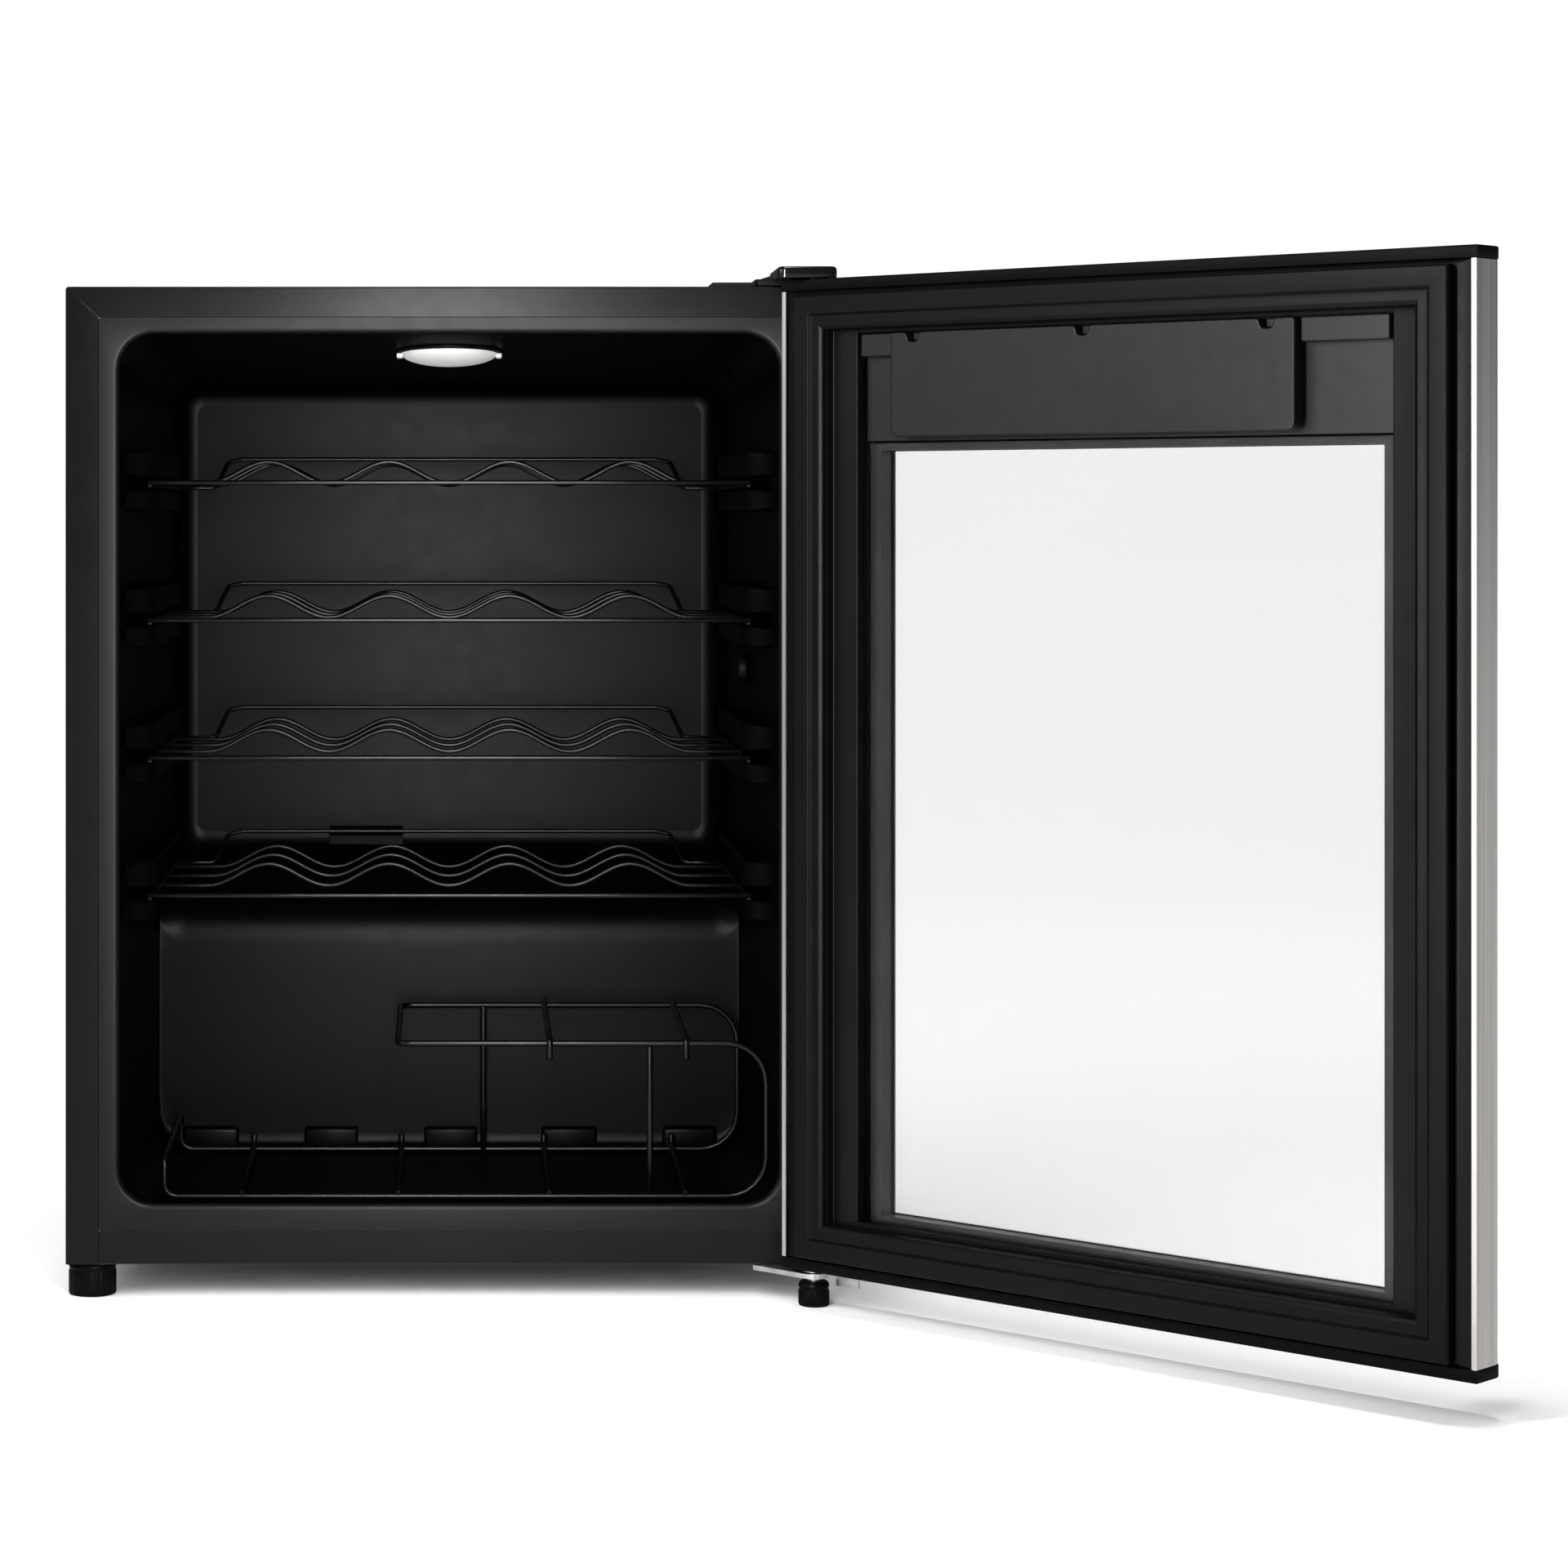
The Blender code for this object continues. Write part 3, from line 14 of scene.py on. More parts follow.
import bmesh
import bpy
import numpy as np
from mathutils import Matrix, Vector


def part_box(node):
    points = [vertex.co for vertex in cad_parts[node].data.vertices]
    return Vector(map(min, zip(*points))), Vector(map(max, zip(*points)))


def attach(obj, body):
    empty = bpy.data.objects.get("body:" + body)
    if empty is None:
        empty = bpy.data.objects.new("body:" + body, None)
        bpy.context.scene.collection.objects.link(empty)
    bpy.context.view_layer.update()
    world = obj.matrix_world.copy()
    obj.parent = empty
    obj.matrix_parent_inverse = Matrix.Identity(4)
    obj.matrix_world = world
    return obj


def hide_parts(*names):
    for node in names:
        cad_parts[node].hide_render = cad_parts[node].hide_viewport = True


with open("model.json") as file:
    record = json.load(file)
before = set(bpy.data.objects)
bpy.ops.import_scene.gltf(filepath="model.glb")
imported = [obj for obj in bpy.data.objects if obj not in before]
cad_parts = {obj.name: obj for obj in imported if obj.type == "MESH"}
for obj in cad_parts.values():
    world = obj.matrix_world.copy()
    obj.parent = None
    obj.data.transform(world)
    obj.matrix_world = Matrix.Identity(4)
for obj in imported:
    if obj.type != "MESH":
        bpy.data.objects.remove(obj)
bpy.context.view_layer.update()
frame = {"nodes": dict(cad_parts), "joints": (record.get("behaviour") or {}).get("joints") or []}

LOG = logging.getLogger("fridge")
Array = np.ndarray
GAP = 0.0003
SHELF_LEVELS = (0.5102, 0.4231, 0.3360, 0.2489)


class Axis(Enum):
    """The axis that a section is carried along, and where its section's two coordinates and its length go."""

    X = (1, 2, 0)
    Y = (0, 2, 1)
    Z = (0, 1, 2)


# ---------------------------------------------------------------- places
@dataclass(frozen=True)
class Place:
    """Where a sub-assembly's own frame lies in the row frame.

    Args:
        origin: the frame's origin in the row frame.
        turn: its rotation about Z, in radians.
    """

    origin: tuple[float, float, float]
    turn: float = 0.0

    def world(self, points: Array) -> Array:
        """Points turned about Z, then moved to the origin.

        Args:
            points: an array of points in the sub-assembly's frame.

        Returns:
            The same points in the row frame.
        """
        c, s = math.cos(self.turn), math.sin(self.turn)
        return points @ np.array([[c, s, 0.0], [-s, c, 0.0], [0.0, 0.0, 1.0]]) + np.array(self.origin)


def cabinet_place() -> Place:
    """The cabinet's frame, from the box of its steel wrap."""
    low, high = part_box("outer_wrap")
    return Place(((low.x + high.x) / 2, low.y, 0.0))


def door_place() -> Place:
    """The door's frame, from its hinge joint and the angle that it stands open at."""
    hinge = next(joint for joint in frame["joints"] if joint["name"] == "door_hinge")
    return Place((hinge["pos_m"][0], hinge["pos_m"][1], 0.0), math.radians(-hinge["range_deg"][0]))


# ---------------------------------------------------------------- surfaces
def quads(rows: int, columns: int, wrap_rows: bool, wrap_columns: bool) -> Array:
    """Corner numbers of the quads between neighbouring points of a grid.

    Args:
        rows: number of rows of points.
        columns: number of points in a row.
        wrap_rows: whether the last row joins the first.
        wrap_columns: whether a row's last point joins its first.

    Returns:
        An array of four point numbers per quad.
    """
    row, column = np.meshgrid(np.arange(rows if wrap_rows else rows - 1),
                              np.arange(columns if wrap_columns else columns - 1), indexing="ij")
    next_row, next_column = (row + 1) % rows, (column + 1) % columns
    corners = [row * columns + column, row * columns + next_column,
               next_row * columns + next_column, next_row * columns + column]
    return np.stack(corners, axis=-1).reshape(-1, 4)


class Shape:
    """Points and faces of one piece, gathered from any number of grids."""

    def __init__(self) -> None:
        """An empty shape."""
        self.points: list[Array] = []
        self.faces: list[list[int]] = []
        self.count = 0

    def grid(self, points: Array, wrap_rows: bool = False, capped: bool = True) -> "Shape":
        """Adds a grid whose rows are closed rings.

        Args:
            points: an array of rows by columns by three.
            wrap_rows: whether the last ring joins the first, as on a frame or a collar.
            capped: whether a flat face closes the first and the last ring.

        Returns:
            The shape itself.
        """
        rows, columns = points.shape[:2]
        self.faces += (quads(rows, columns, wrap_rows, True) + self.count).tolist()
        if capped and not wrap_rows:
            self.faces.append(list(range(self.count, self.count + columns)))
            last = self.count + (rows - 1) * columns
            self.faces.append(list(range(last, last + columns)))
        self.points.append(points.reshape(-1, 3))
        self.count += rows * columns
        return self

    def merged(self) -> Array:
        """All points in one array."""
        return np.concatenate(self.points)


def circle(sides: int) -> Array:
    """Unit circle: cosine and sine of evenly spaced angles."""
    angle = np.linspace(0, 2 * math.pi, sides, endpoint=False)
    return np.stack([np.cos(angle), np.sin(angle)], axis=-1)


def rounded_outline(half_a: float, half_b: float, radius: float, steps: int = 6) -> Array:
    """Rectangle with round corners: four quarter circles set in from the corners by their radius."""
    angle = np.linspace(0, math.pi / 2, steps + 1)
    turns = angle[None, :] + np.arange(4)[:, None] * math.pi / 2
    centres = np.array([[1, 1], [-1, 1], [-1, -1], [1, -1]]) * [half_a - radius, half_b - radius]
    arcs = np.stack([np.cos(turns), np.sin(turns)], axis=-1) * radius
    return (centres[:, None, :] + arcs).reshape(-1, 2)


def softened(profile: Array, radius: float | Array, steps: int = 4) -> Array:
    """A closed profile with round corners: each corner becomes a quadratic curve that starts and ends one
    radius, or a little under half of the side, away from it and has the corner as its control point.

    Args:
        profile: the corners, any number of coordinates each.
        radius: how far from a corner its curve starts.
        steps: number of steps in each curve.

    Returns:
        The points of the rounded profile.
    """
    def towards(other: Array) -> Array:
        step = other - profile
        length = np.linalg.norm(step, axis=-1, keepdims=True)
        return profile + step * np.minimum(radius / length, 0.48)
    before, after = towards(np.roll(profile, 1, axis=0)), towards(np.roll(profile, -1, axis=0))
    t = np.linspace(0, 1, steps + 1)[None, :, None]
    curve = (1 - t) ** 2 * before[:, None] + 2 * t * (1 - t) * profile[:, None] + t ** 2 * after[:, None]
    return curve.reshape(-1, profile.shape[1])


def drawn_in(outline: Array, amount: float) -> Array:
    """A closed flat outline moved inward: each point goes along the normal of the line between its
    neighbours.

    Args:
        outline: points of two coordinates, in either sense of rotation.
        amount: the distance.

    Returns:
        The moved points.
    """
    ahead, behind = np.roll(outline, -1, axis=0), np.roll(outline, 1, axis=0)
    line = ahead - behind
    line /= np.maximum(np.linalg.norm(line, axis=1, keepdims=True), 1e-9)
    area = np.sum(outline[:, 0] * ahead[:, 1] - ahead[:, 0] * outline[:, 1])
    return outline + np.stack([-line[:, 1], line[:, 0]], axis=-1) * math.copysign(amount, area)


def plate(outline: Array, low: float, high: float, edge_low: float, edge_high: float, axis: Axis) -> Array:
    """A flat outline carried along an axis, its rim rounded by a quarter circle at each end.

    Args:
        outline: the closed outline in the axis' two other coordinates.
        low: where it starts along the axis.
        high: where it ends.
        edge_low: size of the rounding at the start.
        edge_high: size of the rounding at the end.
        axis: the axis.

    Returns:
        Rings of points from the start to the end.
    """
    a, b, c = axis.value
    angle = np.linspace(0, math.pi / 2, 4)
    along = np.concatenate([low + edge_low * (1 - np.cos(angle)), high - edge_high * (1 - np.cos(angle[::-1]))])
    inset = np.concatenate([edge_low * (1 - np.sin(angle)), edge_high * (1 - np.sin(angle[::-1]))])
    rings = np.zeros((len(along), len(outline), 3))
    for ring, place, amount in zip(rings, along, inset):
        flat = drawn_in(outline, float(amount))
        ring[:, a], ring[:, b], ring[:, c] = flat[:, 0], flat[:, 1], place
    return rings


def bar(low: tuple, high: tuple, radius: float, edge: float, axis: Axis = Axis.Y, steps: int = 5) -> Array:
    """A block with round long edges and eased ends: a rounded rectangle carried along one axis, drawn in by
    a quarter circle of the edge's size at both ends.

    Args:
        low: lowest corner.
        high: highest corner.
        radius: radius of the four long edges.
        edge: size of the easing at the two ends.
        axis: the axis that the long edges run along.
        steps: number of steps in each corner.

    Returns:
        Rings of points from one end to the other.
    """
    a, b, c = axis.value
    low_corner, high_corner = np.array(low, float), np.array(high, float)
    middle, half = (low_corner + high_corner) / 2, (high_corner - low_corner) / 2
    angle = np.linspace(0, math.pi / 2, 4)
    inset = np.concatenate([edge * (1 - np.sin(angle)), edge * (1 - np.sin(angle[::-1]))])
    along = np.concatenate([-half[c] + edge * (1 - np.cos(angle)), half[c] - edge * (1 - np.cos(angle[::-1]))])
    rings = np.zeros((len(inset), 4 * (steps + 1), 3))
    base = rounded_outline(half[a], half[b], radius, steps)
    scale_a, scale_b = (half[a] - inset) / half[a], (half[b] - inset) / half[b]
    rings[..., a] = middle[a] + base[None, :, 0] * scale_a[:, None]
    rings[..., b] = middle[b] + base[None, :, 1] * scale_b[:, None]
    rings[..., c] = middle[c] + along[:, None]
    return rings


def turned(profile: Array, sides: int = 48, axis: Axis = Axis.Z) -> Array:
    """A round: each (radius, height) pair of the profile becomes a ring about the axis."""
    a, b, c = axis.value
    ring = circle(sides)
    points = np.zeros((len(profile), sides, 3))
    points[..., a] = profile[:, :1] * ring[None, :, 0]
    points[..., b] = profile[:, :1] * ring[None, :, 1]
    points[..., c] = profile[:, 1:]
    return points


def bent(corners: list, radii: float | list, steps: int = 6, closed: bool = False) -> Array:
    """A path through corners with each corner replaced by an arc of its radius, tangent to both sides.

    Args:
        corners: the path's corners.
        radii: one radius, or one per corner.
        steps: number of steps in each arc.
        closed: whether the last corner joins the first.

    Returns:
        The points of the path.
    """
    points = np.array(corners, float)
    sizes = np.broadcast_to(np.array(radii, float), (len(points),))
    back = np.roll(points, 1, axis=0) - points
    ahead = np.roll(points, -1, axis=0) - points
    back /= np.linalg.norm(back, axis=1, keepdims=True)
    ahead /= np.linalg.norm(ahead, axis=1, keepdims=True)
    half_angle = np.arccos(np.clip((back * ahead).sum(1), -1, 1)) / 2
    middle = back + ahead
    middle /= np.maximum(np.linalg.norm(middle, axis=1, keepdims=True), 1e-9)
    centre = points + middle * (sizes / np.sin(half_angle))[:, None]
    reach = (sizes / np.tan(half_angle))[:, None]
    first, last = points + back * reach - centre, points + ahead * reach - centre
    sweep = np.maximum(math.pi - 2 * half_angle, 1e-6)[:, None]
    share = np.linspace(0, 1, steps + 1)[None, :]
    weight_first = np.sin((1 - share) * sweep) / np.sin(sweep)
    weight_last = np.sin(share * sweep) / np.sin(sweep)
    arcs = centre[:, None] + first[:, None] * weight_first[..., None] + last[:, None] * weight_last[..., None]
    if closed:
        return arcs.reshape(-1, 3)
    return np.concatenate([points[:1], arcs[1:-1].reshape(-1, 3), points[-1:]])


def rod(path: Array, radius: float, sides: int = 12, closed: bool = False) -> Array:
    """A round wire: rings square to the path, each turned from the last by the least rotation that follows
    the path's direction. Open ends are rounded by two smaller rings.

    Args:
        path: the wire's centre line.
        radius: the wire's radius.
        sides: number of points around it.
        closed: whether the path is a loop.

    Returns:
        Rings of points along the wire.
    """
    keep = np.ones(len(path), bool)
    keep[1:] = np.linalg.norm(np.diff(path, axis=0), axis=1) > 1e-7
    path = path[keep]
    if closed:
        tangent = np.roll(path, -1, axis=0) - np.roll(path, 1, axis=0)
    else:
        tangent = np.gradient(path, axis=0)
    tangent /= np.linalg.norm(tangent, axis=1, keepdims=True)
    reference = np.array([0.0, 0.0, 1.0]) if abs(tangent[0, 2]) < 0.9 else np.array([0.0, 1.0, 0.0])
    normal = np.zeros_like(path)
    current = np.cross(tangent[0], reference)
    for index, direction in enumerate(tangent):
        current = current - direction * current.dot(direction)
        current = current / np.linalg.norm(current)
        normal[index] = current
    if closed:
        twist = math.atan2(np.cross(normal[-1], normal[0]).dot(tangent[0]), normal[-1].dot(normal[0]))
        angle = twist * np.linspace(0, 1, len(path))[:, None]
        normal = normal * np.cos(angle) + np.cross(tangent, normal) * np.sin(angle)
    side = np.cross(tangent, normal)
    size = np.full(len(path), radius)
    if not closed:
        ease = radius * 0.35
        path = np.concatenate([path[:1], path[:1] + tangent[:1] * ease, path[1:-1],
                               path[-1:] - tangent[-1:] * ease, path[-1:]])
        normal = np.concatenate([normal[:1], normal, normal[-1:]])
        side = np.concatenate([side[:1], side, side[-1:]])
        size = np.concatenate([[radius * 0.72, radius], size[1:-1], [radius, radius * 0.72]])
    ring = circle(sides)
    return (path[:, None] + size[:, None, None]
            * (normal[:, None] * ring[None, :, :1] + side[:, None] * ring[None, :, 1:]))


def linked(name: str, data: bpy.types.ID) -> bpy.types.Object:
    """A new object that shows the data, linked into the scene."""
    obj = bpy.data.objects.new(name, data)
    bpy.context.scene.collection.objects.link(obj)
    return obj


def new_material(name: str) -> tuple[bpy.types.Material, bpy.types.Node]:
    """A new material with nodes, and its main shader."""
    material = bpy.data.materials.new(name)
    material.use_nodes = True
    return material, material.node_tree.nodes["Principled BSDF"]


def piece(name: str, shape: Shape, place: Place, look: bpy.types.Material, body: str,
          stands_for: tuple[str, ...] = (), crease: float = 38.0) -> bpy.types.Object:
    """Makes one object from a shape, with its place in its mesh, and hangs it on its body.

    Args:
        name: the piece's name.
        shape: its points and faces, in its sub-assembly's frame.
        place: where that frame lies.
        look: its material.
        body: the body it moves with.
        stands_for: the CAD nodes that it is shown in place of.
        crease: edges sharper than this many degrees stay sharp.

    Returns:
        The object.
    """
    mesh = bpy.data.meshes.new(name)
    mesh.from_pydata(place.world(shape.merged()).tolist(), [], shape.faces)
    work = bmesh.new()
    work.from_mesh(mesh)
    bmesh.ops.recalc_face_normals(work, faces=work.faces)
    work.to_mesh(mesh)
    work.free()
    mesh.shade_smooth()
    mesh.set_sharp_from_angle(angle=math.radians(crease))
    sides = np.zeros(len(mesh.polygons), int)
    mesh.polygons.foreach_get("loop_total", sides)
    mesh.polygons.foreach_set("use_smooth", sides < 5)
    mesh.materials.append(look)
    obj = linked(name, mesh)
    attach(obj, body)
    if stands_for:
        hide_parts(*stands_for)
    LOG.info("%s: %d faces on %s", name, len(mesh.polygons), body)
    return obj


# ---------------------------------------------------------------- finishes
def new_group(name: str, inputs: dict[str, float | tuple], outputs: dict[str, str]) -> bpy.types.NodeTree:
    """An empty shader node group with named sockets.

    Args:
        name: the group's name.
        inputs: socket names with a number, a colour of four or None for a vector.
        outputs: socket names with their socket types.

    Returns:
        The group.
    """
    tree = bpy.data.node_groups.new(name, "ShaderNodeTree")
    for label, value in inputs.items():
        kind = "NodeSocketColor" if isinstance(value, tuple) else "NodeSocketFloat"
        if value is None:
            kind = "NodeSocketVector"
        socket = tree.interface.new_socket(name=label, in_out="INPUT", socket_type=kind)
        if value is not None:
            socket.default_value = value
    for label, kind in outputs.items():
        tree.interface.new_socket(name=label, in_out="OUTPUT", socket_type=kind)
    return tree


class Nodes:
    """Short calls that add nodes to one tree."""

    def __init__(self, tree: bpy.types.NodeTree) -> None:
        """Works on one node tree."""
        self.tree = tree

    def add(self, kind: str, **inputs: object) -> bpy.types.Node:
        """Adds a node and sets or links its inputs.

        Args:
            kind: the node's type without its ShaderNode prefix.
            inputs: socket names, with spaces as underscores, or "i" and a number, with values or sockets.

        Returns:
            The node.
        """
        node = self.tree.nodes.new(kind if kind.startswith("NodeGroup") else f"ShaderNode{kind}")
        for label, value in inputs.items():
            socket = node.inputs[int(label[1:])] if label[1:].isdigit() else node.inputs[label.replace("_", " ")]
            self.feed(socket, value)
        return node

    def feed(self, socket: bpy.types.NodeSocket, value: object) -> None:
        """Links a socket to another, or gives it a plain value."""
        if isinstance(value, bpy.types.NodeSocket):
            self.tree.links.new(value, socket)
        else:
            socket.default_value = value

    def math(self, operation: str, first: object, second: object = 0.0) -> bpy.types.NodeSocket:
        """One sum of two values."""
        node = self.add("Math", i0=first, i1=second)
        node.operation = operation
        return node.outputs[0]

    def mix(self, factor: object, first: object, second: object) -> bpy.types.NodeSocket:
        """A colour between two others."""
        node = self.tree.nodes.new("ShaderNodeMix")
        node.data_type = "RGBA"
        self.feed(node.inputs[0], factor)
        self.feed(node.inputs[6], first)
        self.feed(node.inputs[7], second)
        return node.outputs[2]

    def spread(self, value: object, low: object, high: object, start: object, end: object) -> bpy.types.NodeSocket:
        """A value moved from one range to another and kept inside it."""
        node = self.add("MapRange", Value=value, From_Min=low, From_Max=high, To_Min=start, To_Max=end)
        return node.outputs[0]

    def group(self, tree: bpy.types.NodeTree, **inputs: object) -> bpy.types.Node:
        """Places a shared group with its own values."""
        node = self.tree.nodes.new("ShaderNodeGroup")
        node.node_tree = tree
        for label, value in inputs.items():
            self.feed(node.inputs[label.replace("_", " ")], value)
        return node


class Effects:
    """The effects that several finishes share, each a node group built once."""

    def __init__(self) -> None:
        """Builds the groups."""
        self.mottle = self.make_mottle()
        self.grain = self.make_grain()
        self.dust = self.make_dust()

    @staticmethod
    def make_mottle() -> bpy.types.NodeTree:
        """Slow variation: noise at one scale, stretched to a range from Low to High."""
        tree = new_group("slow_variation", {"Vector": None, "Scale": 12.0, "Low": 0.0, "High": 1.0},
                         {"Value": "NodeSocketFloat"})
        nodes = Nodes(tree)
        ins, outs = tree.nodes.new("NodeGroupInput"), tree.nodes.new("NodeGroupOutput")
        noise = nodes.add("TexNoise", Vector=ins.outputs["Vector"], Scale=ins.outputs["Scale"], Detail=4.0)
        value = nodes.spread(noise.outputs[0], 0.32, 0.68, ins.outputs["Low"], ins.outputs["High"])
        nodes.feed(outs.inputs["Value"], value)
        return tree

    @staticmethod
    def make_grain() -> bpy.types.NodeTree:
        """Fine relief: noise grain and rounder cells in equal parts, as a height."""
        tree = new_group("fine_relief", {"Vector": None, "Scale": 900.0, "Cells": 0.5}, {"Height": "NodeSocketFloat"})
        nodes = Nodes(tree)
        ins, outs = tree.nodes.new("NodeGroupInput"), tree.nodes.new("NodeGroupOutput")
        noise = nodes.add("TexNoise", Vector=ins.outputs["Vector"], Scale=ins.outputs["Scale"], Detail=2.0)
        cells = nodes.add("TexVoronoi", Vector=ins.outputs["Vector"], Scale=ins.outputs["Scale"])
        kept = nodes.math("MULTIPLY", cells.outputs["Distance"], ins.outputs["Cells"])
        nodes.feed(outs.inputs["Height"], nodes.math("ADD", noise.outputs[0], kept))
        return tree

    @staticmethod
    def make_dust() -> bpy.types.NodeTree:
        """Settled dust: pale where the surface faces up and a broken noise lets it lie."""
        tree = new_group("settled_dust", {"Vector": None, "Colour": (0.02, 0.02, 0.02, 1.0),
                                          "Dust": (0.30, 0.29, 0.28, 1.0), "Amount": 0.1},
                         {"Colour": "NodeSocketColor", "Mask": "NodeSocketFloat"})
        nodes = Nodes(tree)
        ins, outs = tree.nodes.new("NodeGroupInput"), tree.nodes.new("NodeGroupOutput")
        upward = nodes.add("SeparateXYZ", Vector=nodes.add("NewGeometry").outputs["Normal"]).outputs[2]
        lying = nodes.spread(upward, 0.3, 1.0, 0.15, 1.0)
        noise = nodes.add("TexNoise", Vector=ins.outputs["Vector"], Scale=60.0, Detail=6.0)
        broken = nodes.spread(noise.outputs[0], 0.45, 0.70, 0.0, 1.0)
        mask = nodes.math("MULTIPLY", nodes.math("MULTIPLY", lying, broken), ins.outputs["Amount"])
        nodes.feed(outs.inputs["Mask"], mask)
        nodes.feed(outs.inputs["Colour"], nodes.mix(mask, ins.outputs["Colour"], ins.outputs["Dust"]))
        return tree


@dataclass(frozen=True)
class Finish:
    """A finish with slow colour variation, fine relief and settled dust.

    Args:
        name: the material's name.
        colour: the deeper colour.
        second: the paler colour that it varies to.
        rough: lowest and highest roughness.
        metal: how metallic it is.
        coat: strength of a clear coat.
        variation: scale of the slow variation.
        stretch: how the patterns are drawn out along X, Y and Z; a small number makes long streaks.
        relief: height of the fine relief, in metres.
        relief_scale: scale of the fine relief.
        cells: share of round cells in the relief.
        dust: amount of settled dust.
        specular: strength of the plain reflection.
        glow: strength of its own light.
        flat_edge: how fast the gloss goes as the surface turns away, as it does on grained plastic.
    """

    name: str
    colour: tuple[float, float, float]
    second: tuple[float, float, float]
    rough: tuple[float, float]
    metal: float = 0.0
    coat: float = 0.0
    variation: float = 14.0
    stretch: tuple[float, float, float] = (1.0, 1.0, 1.0)
    relief: float = 0.00002
    relief_scale: float = 900.0
    cells: float = 0.5
    dust: float = 0.05
    specular: float = 0.5
    glow: float = 0.0
    flat_edge: float = 0.0

    def build(self, effects: Effects) -> bpy.types.Material:
        """Makes the material.

        Args:
            effects: the shared node groups.

        Returns:
            The material.
        """
        material, shader = new_material(self.name)
        nodes = Nodes(material.node_tree)
        shader.inputs["Metallic"].default_value = self.metal
        shader.inputs["Coat Weight"].default_value = self.coat
        shader.inputs["Coat Roughness"].default_value = 0.12
        shader.inputs["Specular IOR Level"].default_value = self.specular
        place = nodes.add("TexCoord").outputs["Object"]
        mapped = nodes.add("Mapping", Vector=place, Scale=self.stretch).outputs[0]
        slow = nodes.group(effects.mottle, Vector=mapped, Scale=self.variation, Low=0.0, High=1.0).outputs[0]
        colour = nodes.mix(slow, (*self.colour, 1.0), (*self.second, 1.0))
        dust = nodes.group(effects.dust, Vector=place, Colour=colour, Amount=self.dust)
        nodes.feed(shader.inputs["Base Color"], dust.outputs["Colour"])
        fine = nodes.group(effects.mottle, Vector=mapped, Scale=self.variation * 7, Low=self.rough[0],
                           High=self.rough[1]).outputs[0]
        rough = nodes.math("ADD", fine, nodes.math("MULTIPLY", dust.outputs["Mask"], 0.6))
        nodes.feed(shader.inputs["Roughness"], rough)
        height = nodes.group(effects.grain, Vector=mapped, Scale=self.relief_scale, Cells=self.cells).outputs[0]
        bump = nodes.add("Bump", Height=height, Distance=self.relief, Strength=1.0)
        nodes.feed(shader.inputs["Normal"], bump.outputs[0])
        if self.flat_edge:
            facing = nodes.math("SUBTRACT", 1.0, nodes.add("LayerWeight", Blend=0.5).outputs["Facing"])
            nodes.feed(shader.inputs["Specular IOR Level"],
                       nodes.math("MULTIPLY", nodes.math("POWER", facing, self.flat_edge), self.specular))
        if self.glow:
            nodes.feed(shader.inputs["Emission Color"], colour)
            shader.inputs["Emission Strength"].default_value = self.glow
        return material


@dataclass(frozen=True)
class ClearGlass:
    """Float glass with a faint tint and a little wiping haze.

    Args:
        name: the material's name.
        tint: the colour that it lets through.
    """

    name: str
    tint: tuple[float, float, float]

    def build(self, effects: Effects) -> bpy.types.Material:
        """Makes the material.

        Args:
            effects: the shared node groups.

        Returns:
            The material.
        """
        material, shader = new_material(self.name)
        nodes = Nodes(material.node_tree)
        shader.inputs["Transmission Weight"].default_value = 1.0
        shader.inputs["IOR"].default_value = 1.22
        place = nodes.add("TexCoord").outputs["Object"]
        slow = nodes.group(effects.mottle, Vector=place, Scale=5.0, Low=0.0, High=1.0).outputs[0]
        nodes.feed(shader.inputs["Base Color"],
                   nodes.mix(slow, (*self.tint, 1.0), (*(value * 0.995 for value in self.tint), 1.0)))
        haze = nodes.group(effects.mottle, Vector=place, Scale=30.0, Low=0.0, High=0.005).outputs[0]
        nodes.feed(shader.inputs["Roughness"], haze)
        return material


